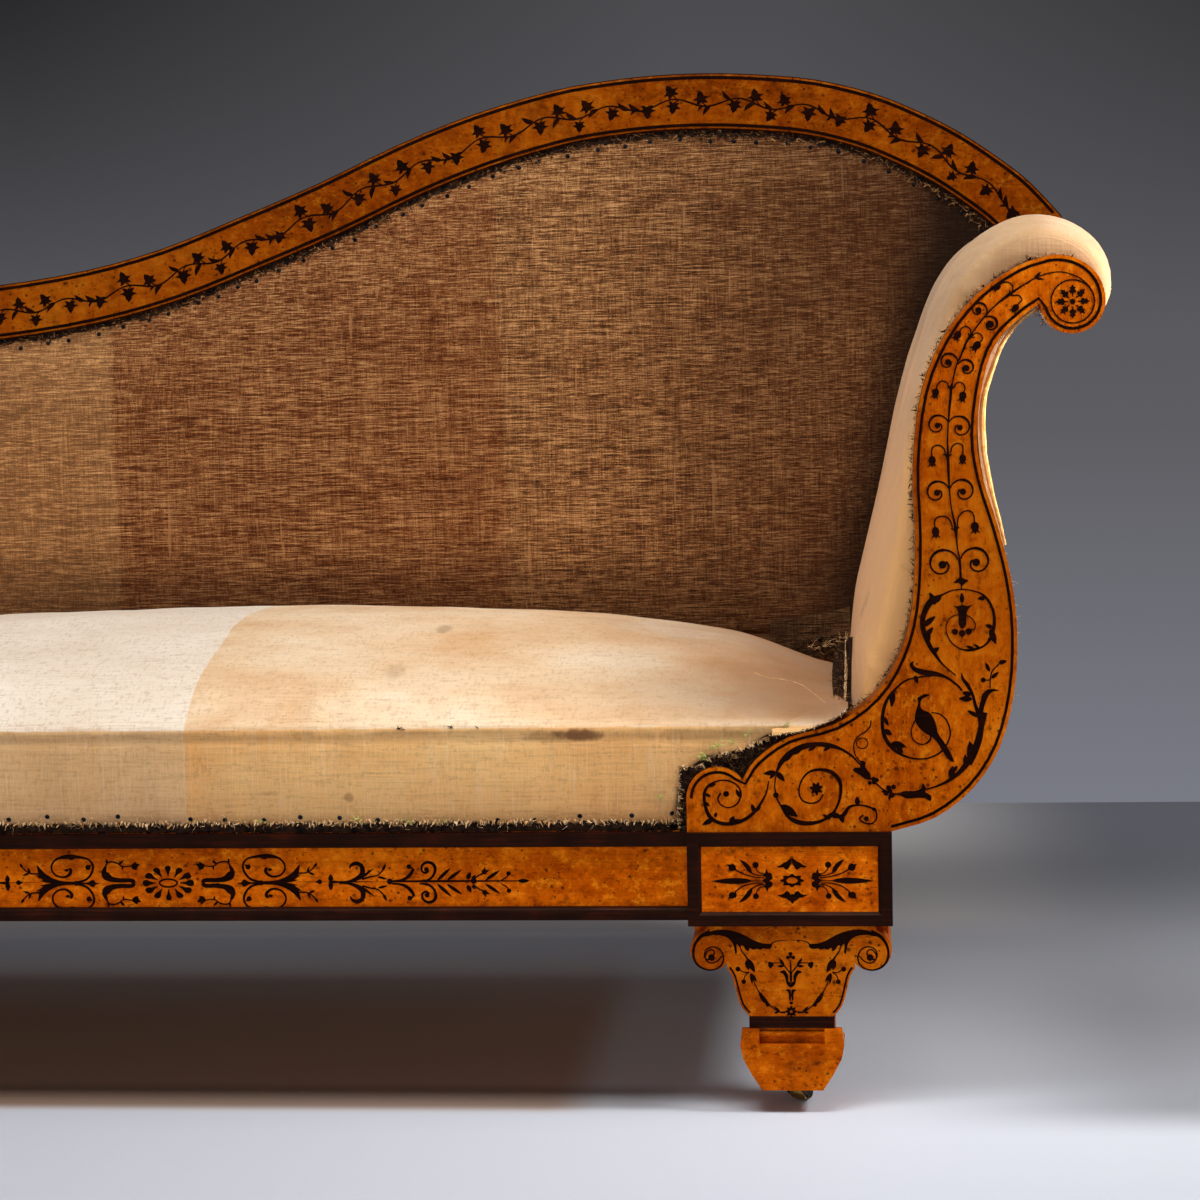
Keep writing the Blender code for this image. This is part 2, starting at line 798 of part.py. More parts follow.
def build_caster(corner, x, y):
    empty = caster_empty("caster_axis_" + corner, x, y)
    plate, plate_bore = caster_plate("caster_plate_" + corner)
    horn, helpers = caster_horn("caster_horn_" + corner)
    for helper in (plate_bore, *helpers):
        helper.parent = empty
    place(plate, "iron", empty)
    place(horn, "iron", empty)
    place(caster_axle("caster_axle_" + corner), "iron", empty)
    place(caster_wheel("caster_wheel_" + corner), "brass", empty)


# Legs


def foot_outline(x):
    half = FOOT_WIDTH / 2
    right = [(x + a * half, FOOT_BOTTOM + b * FOOT_HEIGHT) for a, b in FOOT_SIDE_SHARES]
    left = [(2 * x - px, pz) for px, pz in reversed(right)]
    return right + left


def build_foot(corner, x, y, front):
    """The tapered foot, with a notch between two ears and a small roll across it, front and back."""
    low, high = y - FOOT_DEPTH / 2, y + FOOT_DEPTH / 2
    foot = outline_solid("foot_" + corner, foot_outline(x), low, high)
    half = FOOT_NOTCH_WIDTH / 2
    floor = FOOT_TOP - FOOT_NOTCH_HEIGHT
    face = low if front else high
    inward = 1 if front else -1
    back = face + inward * FOOT_NOTCH_DEPTH
    near, far = sorted((face - inward * OVERRUN, back))
    cut(foot, box("foot notch " + corner, (x - half, near, floor), (x + half, far, FOOT_TOP + OVERRUN)))
    roll = cylinder(
        "foot roll " + corner,
        FOOT_ROLL_RADIUS,
        x - half - FOOT_ROLL_RADIUS,
        x + half + FOOT_ROLL_RADIUS,
        (back - inward * FOOT_ROLL_RADIUS / 2, FOOT_TOP - 2 * FOOT_ROLL_RADIUS),
        "X",
        ROLL_STEPS,
    )
    join(foot, roll)
    place(foot, "foot")


def build_neck(corner, x, y):
    half = NECK_WIDTH / 2
    neck = box(
        "leg_neck_" + corner,
        (x - half, y - NECK_DEPTH / 2, NECK_BOTTOM),
        (x + half, y + NECK_DEPTH / 2, NECK_TOP),
    )
    place(neck, "amaranth")


def leg_outline(x):
    """Two volutes joined by a flat top, drawn in below them to the width of the neck."""
    centre = (VOLUTE_PITCH / 2, LEG_TOP - VOLUTE_DROP)
    volute = arc(centre, VOLUTE_RADIUS, VOLUTE_START_ANGLE, VOLUTE_END_ANGLE - math.pi / 2, 14)
    neck = [(a * VOLUTE_PITCH / 2, LEG_BOTTOM + b * LEG_HEIGHT) for a, b in LEG_NECK_SHARES]
    top = [((centre[0] + volute[0][0]) / 2, LEG_TOP)]
    right = top + volute + smooth_path(neck, 2)
    left = [(-px, pz) for px, pz in reversed(right)]
    return [(x + px, pz) for px, pz in right + left]


def build_leg(corner, x, y, front):
    """The volute face in front, and behind it the leg's body with a square cap under the block."""
    low, high = y - LEG_DEPTH / 2, y + LEG_DEPTH / 2
    leg = outline_solid("leg_volute_" + corner, leg_outline(x), low, high)
    half = LEG_CAP_WIDTH / 2
    cap_low, cap_high = (low + LEG_FACE_THICKNESS, high) if front else (low, high - LEG_FACE_THICKNESS)
    cap = box(
        "leg cap " + corner,
        (x - half, cap_low, LEG_TOP - LEG_CAP_HEIGHT),
        (x + half, cap_high - GAP, LEG_TOP),
    )
    join(leg, cap)
    place(leg, "maple")


# Corner blocks


def block_frame(name, x):
    """A mitred frame on the block's face, its inner edge bevelled towards the panel."""
    bm = bmesh.new()
    middle = (BLOCK_BOTTOM + BLOCK_TOP) / 2
    rings = []
    sizes = (
        (0, FRONT + BLOCK_FRAME_THICKNESS),
        (0, FRONT),
        (BLOCK_FRAME_BAND - BLOCK_PANEL_SETBACK, FRONT),
        (BLOCK_FRAME_BAND, FRONT + BLOCK_PANEL_SETBACK),
        (BLOCK_FRAME_BAND, FRONT + BLOCK_FRAME_THICKNESS),
    )
    for inset, y in sizes:
        half_x, half_z = BLOCK_WIDTH / 2 - inset, BLOCK_HEIGHT / 2 - inset
        corners = ((-half_x, -half_z), (half_x, -half_z), (half_x, half_z), (-half_x, half_z))
        rings.append([bm.verts.new((x + a, y, middle + b)) for a, b in corners])
    for ring, following in zip(rings, rings[1:] + rings[:1]):
        for i in range(4):
            k = (i + 1) % 4
            bm.faces.new((ring[i], ring[k], following[k], following[i]))
    return mesh_object(name, bm)


def build_block(corner, x, front):
    """The corner block: at the front its panel stands forward through the mitred frame."""
    half = BLOCK_WIDTH / 2
    if not front:
        block = box(
            "corner_block_" + corner,
            (x - half, REAR - BLOCK_DEPTH, BLOCK_BOTTOM),
            (x + half, REAR, BLOCK_TOP),
        )
        place(block, "maple")
        return
    back_of_frame = FRONT + BLOCK_FRAME_THICKNESS + GAP
    block = box(
        "corner_block_" + corner, (x - half, back_of_frame, BLOCK_BOTTOM), (x + half, BLOCK_INNER, BLOCK_TOP)
    )
    inset = BLOCK_FRAME_BAND + GAP
    panel = box(
        "block panel " + corner,
        (x - half + inset, BLOCK_FACE, BLOCK_BOTTOM + inset),
        (x + half - inset, back_of_frame + OVERRUN, BLOCK_TOP - inset),
    )
    join(block, panel)
    place(block, "maple")
    place(block_frame("block_frame_" + corner, x), "amaranth")


# Seat rails


def moulding_outline(face, low, height, upward):
    """Section of a moulding in YZ: a quarter round on the panel's side, then a flat fillet."""
    radius = MOULDING_PROJECTION * MOULDING_ROUND_SHARE
    front = face - MOULDING_PROJECTION
    quarter = arc((front + radius, radius), radius, -math.pi / 2, -math.pi, 5)
    section = [(face, 0)] + quarter + [(front, height), (face, height)]
    if upward:
        return [(y, low + z) for y, z in section]
    return [(y, low + height - z) for y, z in section]


def build_seat_rails():
    top = BLOCK_TOP
    bottom = BLOCK_TOP - RAIL_HEIGHT
    end = BLOCK_INNER_X - GAP
    place(box("front_rail", (-end, RAIL_FACE, bottom), (end, RAIL_BACK, top)), "maple")
    sections = {
        "front_rail_top_moulding": (top - TOP_MOULDING_HEIGHT, TOP_MOULDING_HEIGHT, True),
        "front_rail_bottom_moulding": (bottom, LOW_MOULDING_HEIGHT, False),
    }
    for name, (low, height, upward) in sections.items():
        section = moulding_outline(RAIL_FACE - GAP, low, height, upward)
        place(outline_solid(name, section, -end, end, "YZ"), "amaranth")
    rear = box("rear_seat_rail", (-end, BACK_REAR - RAIL_THICKNESS, bottom), (end, BACK_REAR, top))
    place(round_edges(rear, EDGE_SOFTENING), "beech")
    for side, word in ((1, "right"), (-1, "left")):
        low_x, high_x = sorted((side * END_RAIL_INNER, side * END_RAIL_OUTER))
        end_rail = box(
            "end_rail_" + word,
            (low_x, BLOCK_INNER + GAP, bottom),
            (high_x, REAR - BLOCK_DEPTH - GAP, top),
        )
        place(end_rail, "maple")
    brace = box(
        "seat_cross_brace",
        (-BRACE_WIDTH / 2, RAIL_BACK + GAP, top - BRACE_DROP - BRACE_HEIGHT),
        (BRACE_WIDTH / 2, BACK_REAR - RAIL_THICKNESS - GAP, top - BRACE_DROP),
    )
    place(round_edges(brace, EDGE_SOFTENING), "beech")


# Arms


def tongue_outline(stem):
    """The rabbet's tongue on a rear arm board: a strip along the S curve, fading out at both ends."""
    edge = inner_edge(stem)[TONGUE_FADE_POINTS:-TONGUE_FADE_POINTS]
    last = len(edge) - 1
    swell = [min(1, TONGUE_TAPER * i / last, TONGUE_TAPER * (last - i) / last) for i in range(last + 1)]
    out = offset_path(edge, [TONGUE_WIDTH * s for s in swell])
    inside = offset_path(edge, [-TONGUE_WIDTH / 2] * len(edge))
    return out + list(reversed(inside))


def build_arm_boards(word, side, stem):
    outline = mirrored(arm_outline(stem), side)
    place(outline_solid("arm_front_board_" + word, outline, ARM_FACE, ARM_BACK), "maple")
    outline = mirrored(rear_arm_outline(stem), side)
    rear = outline_solid("arm_rear_board_" + word, outline, REAR_BOARD_FACE, BACK_REAR)
    tongue = outline_solid(
        "tongue " + word,
        mirrored(tongue_outline(stem), side),
        TONGUE_FACE,
        BACK_REAR - TONGUE_REAR_STEP,
    )
    join(rear, tongue)
    place(rear, "beech")
    eye = eye_centre(stem)
    rail = cylinder(
        "arm_roll_rail_" + word,
        ROLL_RAIL_RADIUS,
        PAD_FRONT,
        PAD_REAR,
        (side * eye[0], eye[1] + ROLL_RAIL_RISE),
        "Y",
    )
    place(rail, "beech")


def swell_at(station):
    """1 along the middle of a padded length, falling to 0 at its two ends."""
    return 1 - abs(2 * station - 1) ** PAD_SWELL_POWER


def band_loft(name, line, halves, side, end_share, stations, extra=0):
    """A padded band along a line in XZ, from the front board to the rear one: its outer skin swells
    between the boards and is drawn in at them."""
    bm = bmesh.new()
    facing = normals(line)
    sections = []
    for station in stations:
        y = PAD_FRONT + (PAD_REAR - PAD_FRONT) * station
        fullness = end_share + (1 - end_share) * swell_at(station)
        skin = []
        lining = []
        for (x, z), (nx, nz), half in zip(line, facing, halves):
            out = half * (2 * fullness - 1) + extra * swell_at(station)
            skin.append(bm.verts.new((side * (x + nx * out), y, z + nz * out)))
            lining.append(bm.verts.new((side * (x - nx * half), y, z - nz * half)))
        sections.append((skin, lining))
    last = len(line) - 1
    for (skin, lining), (next_skin, next_lining) in zip(sections, sections[1:]):
        for i in range(last):
            bm.faces.new((skin[i], skin[i + 1], next_skin[i + 1], next_skin[i]))
            bm.faces.new((lining[i], lining[i + 1], next_lining[i + 1], next_lining[i]))
        for i in (0, last):
            bm.faces.new((skin[i], next_skin[i], next_lining[i], lining[i]))
    for skin, lining in (sections[0], sections[-1]):
        for i in range(last):
            bm.faces.new((skin[i], skin[i + 1], lining[i + 1], lining[i]))
    return mesh_object(name, bm)


def build_arm_upholstery(word, side, stem):
    line = smooth_path(arm_points(PAD_LINE_SHARES, stem), 2)
    halves = [ARM_PAD_HALF * share for share in smooth_values(PAD_HALF_SHARES, 2)]
    pad = band_loft("arm_pad_" + word, line, halves, side, PAD_END_SHARE, PAD_STATION_SHARES)
    place(pad, "calico")
    line = list(reversed(smooth_path(arm_points(COVER_LINE_SHARES, stem), 2)))
    halves = [ARM_COVER_HALF] * len(line)
    cover = band_loft(
        "arm_outer_cover_" + word, line, halves, side, 1, COVER_STATION_SHARES, -ARM_COVER_SWELL
    )
    place(cover, "calico")


# Back


def crest_section():
    """Section of the crest rail: X is the height across the rail, Y the depth towards the back."""
    half = CREST_WIDTH / 2
    soft = CREST_EDGE_ROUND
    tongue = TONGUE_FACE - CREST_FACE
    upper = arc((half - soft, soft), soft, 0, -math.pi / 2, 3)
    lower = arc((-half + soft, soft), soft, -math.pi / 2, -math.pi, 3)
    return (
        [(half, BACK_THICKNESS)]
        + upper
        + lower
        + [(-half, tongue), (-half - TONGUE_WIDTH, tongue), (-half - TONGUE_WIDTH, BACK_THICKNESS)]
    )


def build_crest():
    """The section carried along the crest's line, each end cut to sit on its rear arm board."""
    line = crest_line()
    facing = normals(line)
    bm = bmesh.new()
    rings = []
    for (x, z), (nx, nz) in zip(line, facing):
        ring = [
            bm.verts.new((x + nx * across, CREST_FACE + deep, z + nz * across))
            for across, deep in crest_section()
        ]
        rings.append(ring)
    count = len(rings[0])
    for ring, following in zip(rings, rings[1:]):
        for i in range(count):
            k = (i + 1) % count
            bm.faces.new((ring[i], ring[k], following[k], following[i]))
    bm.faces.new(rings[0])
    bm.faces.new(rings[-1])
    crest = mesh_object("crest_rail", bm)
    for word, side, stem in ENDS:
        cut(crest, rear_board_cutter("crest seat " + word, side, stem))
        eye = eye_centre(stem)
        beyond = CREST_END + CREST_WIDTH
        trims = (
            ("crest end ", CREST_END, BLOCK_TOP + BACK_HEIGHT),
            ("crest under nose ", eye[0] - EYE_RADIUS, eye[1] + CREST_END_RISE),
        )
        for label, start, top in trims:
            near, far = sorted((side * start, side * beyond))
            low, high = (near, CREST_FACE - OVERRUN, ARM_BASE), (far, BACK_REAR + OVERRUN, top)
            cut(crest, box(label + word, low, high))
    place(crest, "maple")


def rear_board_cutter(name, side, stem):
    """The rear arm board's outline, larger all round by the gap between pieces."""
    outline = rear_arm_outline(stem)
    grown = clear_offset(outline + outline[:1], GAP)[:-1]
    return outline_solid(name, mirrored(grown, side), REAR_BOARD_FACE - OVERRUN, BACK_REAR + OVERRUN)


def tongue_cutter(name, side, stem):
    edge = inner_edge(stem)[TONGUE_FADE_POINTS:-TONGUE_FADE_POINTS]
    out = clear_offset(edge, TONGUE_WIDTH + GAP)
    inside = clear_offset(edge, -TONGUE_WIDTH)
    return outline_solid(
        name,
        mirrored(out + list(reversed(inside)), side),
        TONGUE_FACE - OVERRUN,
        BACK_REAR + OVERRUN,
    )


def build_back_rails():
    low = ARM_BASE + BACK_RAIL_RISE
    high = low + BACK_RAIL_HEIGHT
    face = TONGUE_FACE + GAP
    end = BLOCK_OUTER_X
    rail = box("back_lower_rail", (-end, face, low), (end, BACK_REAR - GAP, high))
    for word, side, stem in ENDS:
        cut(rail, rear_board_cutter("back rail seat " + word, side, stem))
        cut(rail, tongue_cutter("back rail tongue seat " + word, side, stem))
    place(rail, "beech")
    underside = crest_offset(-CREST_WIDTH / 2 - TONGUE_WIDTH - GAP)
    left = MUNTIN_X - MUNTIN_WIDTH / 2
    across = [left + MUNTIN_WIDTH * i / MUNTIN_TOP_STEPS for i in range(MUNTIN_TOP_STEPS + 1)]
    top = [(x, height_at(underside, x) - GAP) for x in across]
    outline = [(left + MUNTIN_WIDTH, high + GAP), (left, high + GAP)] + top
    place(outline_solid("back_muntin", outline, face, BACK_REAR - GAP), "beech")


def canvas_outline(grow, bottom):
    """Edge of the back's cloth: up the head end's S curve, along under the crest, down the foot end's."""
    under = crest_offset(-CREST_WIDTH / 2 - CANVAS_EDGE_CLEARANCE + grow)
    low, high = 0, len(under)
    sides = {}
    for word, side, stem in ENDS:
        edge = inner_edge(stem)
        edge = mirrored(offset_path(edge, [CANVAS_EDGE_CLEARANCE - grow] * len(edge)), side)
        edge = [p for p in edge if p[1] > bottom and abs(p[0]) > LEG_X]
        meets = [i for i, p in enumerate(edge) if distance_to_path(p, under) < CANVAS_CORNER]
        sides[side] = edge[: meets[0]] if meets else edge
        near = [i for i, p in enumerate(under) if distance_to_path(p, sides[side]) < CANVAS_CORNER]
        near += [i for i, p in enumerate(under) if abs(p[0]) > abs(sides[side][-1][0]) and p[0] * side > 0]
        if side > 0:
            high = min([high] + near)
        else:
            low = max([low] + [i + 1 for i in near])
    under = under[low:high]
    head, foot = sides[1], sides[-1]
    start = [(head[0][0] - (head[0][1] - bottom), bottom)]
    end = [(foot[0][0] + (foot[0][1] - bottom), bottom)]
    return start + head + list(reversed(under)) + list(reversed(foot)) + end


def pillow(name, outline, centre, flat_y, edge_y, crown_y, rings):
    """A cloth panel with a flat back: rings of its outline drawn in to the centre as the front swells."""
    bm = bmesh.new()
    back = [bm.verts.new((x, flat_y, z)) for x, z in outline]
    loops = [back]
    for ring in rings:
        y = edge_y + (crown_y - edge_y) * (1 - ring**2) ** CANVAS_SWELL_POWER
        loops.append(
            [
                bm.verts.new((centre[0] + (x - centre[0]) * ring, y, centre[1] + (z - centre[1]) * ring))
                for x, z in outline
            ]
        )
    count = len(outline)
    for loop, following in zip(loops, loops[1:]):
        for i in range(count):
            k = (i + 1) % count
            bm.faces.new((loop[i], loop[k], following[k], following[i]))
    middle = bm.verts.new((centre[0], crown_y, centre[1]))
    for i in range(count):
        bm.faces.new((loops[-1][i], loops[-1][(i + 1) % count], middle))
    bm.faces.new(back)
    return mesh_object(name, bm)


def build_back_cloth():
    bottom = ARM_BASE + CANVAS_BOTTOM_RISE
    outline = canvas_outline(0, bottom)
    across, up = CANVAS_CENTRE_SHARES
    centre = (across * LEG_PITCH, BLOCK_TOP + up * BACK_HEIGHT)
    flat = TONGUE_FACE - GAP
    canvas = pillow(
        "back_canvas",
        outline,
        centre,
        flat,
        flat - CANVAS_EDGE,
        flat - CANVAS_EDGE - CANVAS_CROWN,
        CANVAS_RING_SHARES,
    )
    place(canvas, "canvas")
    outline = canvas_outline(REAR_COVER_LAP, bottom)
    outline[0] = (outline[0][0], ARM_BASE)
    outline[-1] = (outline[-1][0], ARM_BASE)
    near = BACK_REAR + GAP
    cover = outline_solid("back_rear_cover", outline, near, near + REAR_COVER_THICKNESS)
    place(cover, "canvas")


# Seat


def web_breaks(count, pitch, low, high):
    """Edges of the straps across one direction, with the net's own two ends."""
    first = -(count - 1) / 2 * pitch
    breaks = [low]
    for i in range(count):
        breaks += [first + i * pitch - WEB_WIDTH / 2, first + i * pitch + WEB_WIDTH / 2]
    return breaks + [high]


def build_webbing():
    """Straps nailed on the rails, as one flat net: a grid whose lines lie on the straps' edges."""
    half_x = END_RAIL_INNER + WEB_LAP / 2
    front, rear = RAIL_BACK - WEB_LAP, BACK_REAR - RAIL_THICKNESS + WEB_LAP
    short_front, short_rear = ARM_BACK + WEB_SHORT_INSET, REAR_BOARD_FACE - WEB_SHORT_INSET
    xs = web_breaks(WEB_COUNT, WEB_PITCH, -half_x, half_x)
    ys = web_breaks(LONG_WEB_COUNT, LONG_WEB_PITCH, short_front, short_rear)
    ys = [front] + ys + [rear]
    bm = bmesh.new()
    bmesh.ops.create_grid(bm, x_segments=len(xs) - 1, y_segments=len(ys) - 1, size=1)
    columns = sorted({round(v.co.x, 6) for v in bm.verts})
    rows = sorted({round(v.co.y, 6) for v in bm.verts})
    cells = []
    for face in bm.faces:
        middle = face.calc_center_median()
        column = sum(1 for c in columns if c < middle.x) - 1
        row = sum(1 for r in rows if r < middle.y) - 1
        cells.append((face, column, row))
    drop = []
    for face, column, row in cells:
        cross = column % 2 == 1
        along = row % 2 == 0 and 1 < row < len(ys) - 3
        outer_row = row in (0, len(ys) - 2)
        outer_strap = column in (1, len(xs) - 3)
        if not (cross or along) or (outer_row and outer_strap):
            drop.append(face)
    for vert in bm.verts:
        column = columns.index(round(vert.co.x, 6))
        row = rows.index(round(vert.co.y, 6))
        vert.co = (xs[column], ys[row], ARM_BASE)
    bmesh.ops.delete(bm, geom=drop, context="FACES")
    webbing = mesh_object("seat_webbing", bm)
    solid = webbing.modifiers.new("Strap thickness", "SOLIDIFY")
    solid.thickness = WEB_THICKNESS
    solid.offset = 1
    if webbing.data.polygons[0].normal.z < 0:
        solid.offset = -1
    place(webbing, "webbing")


def seat_height(depth_share, side_share):
    """Height of the seat's top over its bottom, at this share of the depth and of the half length."""
    swell = SEAT_SWELL_SHARE * depth_share * (1 - depth_share) + SEAT_REAR_SHARE * depth_share
    crown = SEAT_CROWN * swell * (1 - SEAT_END_FALL_SHARE * side_share**3)
    return SEAT_FRONT_HEIGHT + crown - SEAT_CORNER_DROP * side_share**3 * depth_share**2


def build_seat_pad():
    """The stuffed seat: an upright front border, a crowned top and ends drawn in against the arms."""
    half = arm_points((PAD_LINE_SHARES[2],), HEAD_STEM_HEIGHT)[0][0]
    half -= ARM_PAD_HALF * PAD_HALF_SHARES[2] + SEAT_SIDE_CLEARANCE
    front = FRONT + SEAT_FRONT_SETBACK
    rear = PAD_REAR - SEAT_REAR_CLEARANCE
    bm = bmesh.new()
    shares = [-s for s in reversed(SEAT_COLUMNS_SHARES[1:])] + list(SEAT_COLUMNS_SHARES)
    rings = []
    for share in shares:
        at_end = abs(share) == 1
        low_x = share * (half - (SEAT_DRAW_IN if at_end else 0))
        ring = [
            (low_x, rear - SEAT_DRAW_IN, SEAT_BOTTOM),
            (low_x, front + SEAT_DRAW_IN, SEAT_BOTTOM),
        ]
        for rise in SEAT_BORDER_SHARES:
            ring.append((share * half, front, SEAT_BOTTOM + SEAT_FRONT_HEIGHT * rise))
        for row in SEAT_ROWS_SHARES:
            y = front + (rear - front) * row
            ring.append((share * half, y, SEAT_BOTTOM + seat_height(row, abs(share))))
        rings.append([bm.verts.new(point) for point in ring])
    count = len(rings[0])
    for ring, following in zip(rings, rings[1:]):
        for i in range(count):
            k = (i + 1) % count
            bm.faces.new((ring[i], ring[k], following[k], following[i]))
    bm.faces.new(rings[0])
    bm.faces.new(rings[-1])
    seat = mesh_object("seat_pad", bm)
    for word, side, stem in ENDS:
        corner = [(LEG_X - ARM_FOOT_HALF, ARM_BASE)]
        edge = corner + lobe_outline() + inner_edge(stem)[1:SEAT_CUT_POINTS]
        grown = clear_offset(edge, SEAT_ARM_GAP)
        far = (max(x for x, _ in grown) + OVERRUN, grown[-1][1])
        under = SEAT_BOTTOM - OVERRUN
        outline = [(grown[0][0], under)] + grown + [far, (far[0], under)]
        cutter = outline_solid(
            "seat corner " + word, mirrored(outline, side), FRONT - OVERRUN, ARM_BACK + GAP
        )
        cut(seat, cutter)
    place(seat, "calico")


# Assembly

ENDS = (("right", 1, HEAD_STEM_HEIGHT), ("left", -1, FOOT_STEM_HEIGHT))


def build():
    for depth_word, front in (("front", True), ("rear", False)):
        for end_word, side in (("right", 1), ("left", -1)):
            corner = depth_word + "_" + end_word
            x = side * LEG_X
            face = FRONT + FACE_SETBACK
            y = face + LEG_DEPTH / 2 if front else -face - LEG_DEPTH / 2
            build_caster(corner, x, y)
            build_foot(corner, x, y, front)
            build_neck(corner, x, y)
            build_leg(corner, x, y, front)
            build_block(corner, x, front)
    build_seat_rails()
    for word, side, stem in ENDS:
        build_arm_boards(word, side, stem)
        build_arm_upholstery(word, side, stem)
    build_crest()
    build_back_rails()
    build_back_cloth()
    build_webbing()
    build_seat_pad()


build()
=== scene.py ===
"""Looks of the meridienne of about 1825 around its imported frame: bird's-eye maple with dark marquetry, undone
upholstery in calico and canvas, tacks, frayed edges and horsehair. Metres, +Z up, front towards -Y."""

import math
import random
from functools import partial

import bmesh
import bpy
import numpy as np
from mathutils import Matrix, Vector, noise
from mathutils.bvhtree import BVHTree
from mathutils.geometry import delaunay_2d_cdt, tessellate_polygon


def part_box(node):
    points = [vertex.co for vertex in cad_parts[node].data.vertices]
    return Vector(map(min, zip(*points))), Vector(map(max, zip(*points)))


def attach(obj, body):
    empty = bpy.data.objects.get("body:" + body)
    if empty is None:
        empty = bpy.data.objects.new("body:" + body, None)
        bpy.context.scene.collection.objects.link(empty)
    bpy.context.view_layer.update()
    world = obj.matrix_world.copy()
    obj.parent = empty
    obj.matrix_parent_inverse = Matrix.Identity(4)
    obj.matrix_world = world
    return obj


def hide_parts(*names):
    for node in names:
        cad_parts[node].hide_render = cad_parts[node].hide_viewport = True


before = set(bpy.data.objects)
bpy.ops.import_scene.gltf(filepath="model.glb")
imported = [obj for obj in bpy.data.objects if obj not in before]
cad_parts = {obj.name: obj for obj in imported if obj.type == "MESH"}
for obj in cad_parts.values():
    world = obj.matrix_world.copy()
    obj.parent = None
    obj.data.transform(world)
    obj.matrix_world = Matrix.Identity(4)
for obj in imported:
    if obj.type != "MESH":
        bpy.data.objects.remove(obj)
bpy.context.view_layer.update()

# The camera, solved from the photograph, which is PICTURE pixels wide and high
YAW = math.radians(5.56)
PITCH = math.radians(5.389)
ROLL = math.radians(1.245)
CAMERA_PLACE = Vector((0.6459, -2.8135, 0.7058))
FOCAL = 84.0
SENSOR = 36.0
PICTURE = 1200
REACH = FOCAL / SENSOR * PICTURE

# Planes of the object on which points of the photograph are read, as Y
RAIL_PLANE = -0.318
ARM_PLANE = -0.326
BLOCK_PLANE = -0.3275
SEAT_PLANE = -0.3245
CREST_PLANE = 0.280
CANVAS_PLANE = 0.28

# X of the legs' middle, Z of the arm boards' foot, Y of the seat's front where a ray misses it, and the lowest Z at
# which a ray is sent at the seat
LEG_X = 0.5695
ARM_BASE = 0.2587
SEAT_FRONT = -0.3235
SEAT_FOOT = 0.271

RNG = random.Random(1825)


def camera_axes():
    forward = Vector((
        -math.sin(YAW) * math.cos(PITCH), math.cos(YAW) * math.cos(PITCH), -math.sin(PITCH)
    ))
    level = Vector((math.cos(YAW), math.sin(YAW), 0))
    down = forward.cross(level)
    right = math.cos(ROLL) * level + math.sin(ROLL) * down
    below = -math.sin(ROLL) * level + math.cos(ROLL) * down
    return right, below, forward


RIGHT, BELOW, FORWARD = camera_axes()


def ray_of(px, py):
    """The ray through a pixel of the photograph, REACH long in the camera's direction."""
    return FORWARD * REACH + RIGHT * (px - PICTURE / 2) + BELOW * (py - PICTURE / 2)


def seen(px, py, plane):
    """Where the ray through a pixel of the photograph meets the upright plane Y = plane, as (X, Z)."""
    ray = ray_of(px, py)
    far = (plane - CAMERA_PLACE.y) / ray.y
    return (CAMERA_PLACE.x + ray.x * far, CAMERA_PLACE.z + ray.z * far)


def tone(red, green, blue, bright=1.0):
    """The linear colour of a tone written in 0 to 255, made brighter or darker by a share."""
    linear = []
    for value in (red, green, blue):
        share = value * bright / 255
        linear.append(share / 12.92 if share <= 0.04045 else ((share + 0.055) / 1.055) ** 2.4)
    return (*linear, 1)


# Materials


class Nodes:
    """A tree put together from nodes, each input being a value or another node's output."""

    def __init__(self, tree):
        self.tree = tree

    def put(self, socket, value):
        if isinstance(value, bpy.types.NodeSocket):
            self.tree.links.new(value, socket)
        else:
            socket.default_value = value

    def node(self, kind, inputs=(), **settings):
        made = self.tree.nodes.new(kind)
        for key, value in settings.items():
            setattr(made, key, value)
        for key, value in dict(inputs).items():
            self.put(made.inputs[key], value)
        return made

    def math(self, kind, first, second=0.0, third=0.0):
        made = self.node("ShaderNodeMath", operation=kind)
        for socket, value in zip(made.inputs, (first, second, third)):
            self.put(socket, value)
        return made.outputs[0]

    def times(self, first, second):
        return self.math("MULTIPLY", first, second)

    def plus(self, first, second):
        return self.math("ADD", first, second)

    def minus(self, first, second):
        return self.math("SUBTRACT", first, second)

    def scaled(self, value, by, then):
        return self.math("MULTIPLY_ADD", value, by, then)

    def band(self, value, low, high, to_low=0.0, to_high=1.0, smooth=True):
        made = self.node("ShaderNodeMapRange", {
            "Value": value, "From Min": low, "From Max": high, "To Min": to_low, "To Max": to_high,
        }, interpolation_type="SMOOTHSTEP" if smooth else "LINEAR")
        return made.outputs["Result"]

    def ramp(self, value, *stops):
        made = self.node("ShaderNodeValToRGB", {"Fac": value})
        held = made.color_ramp.elements
        while len(held) < len(stops):
            held.new(0.5)
        for element, (place, colour) in zip(held, stops):
            element.position = place
            element.color = colour
        return made.outputs["Color"]

    def mix(self, share, first, second):
        made = self.node("ShaderNodeMix", data_type="RGBA")
        for socket, value in zip((made.inputs[0], made.inputs[6], made.inputs[7]), (share, first, second)):
            self.put(socket, value)
        return made.outputs[2]

    def split(self, vector):
        """The X, Y and Z of a vector."""
        made = self.node("ShaderNodeSeparateXYZ", {"Vector": vector})
        return [made.outputs[name] for name in "XYZ"]


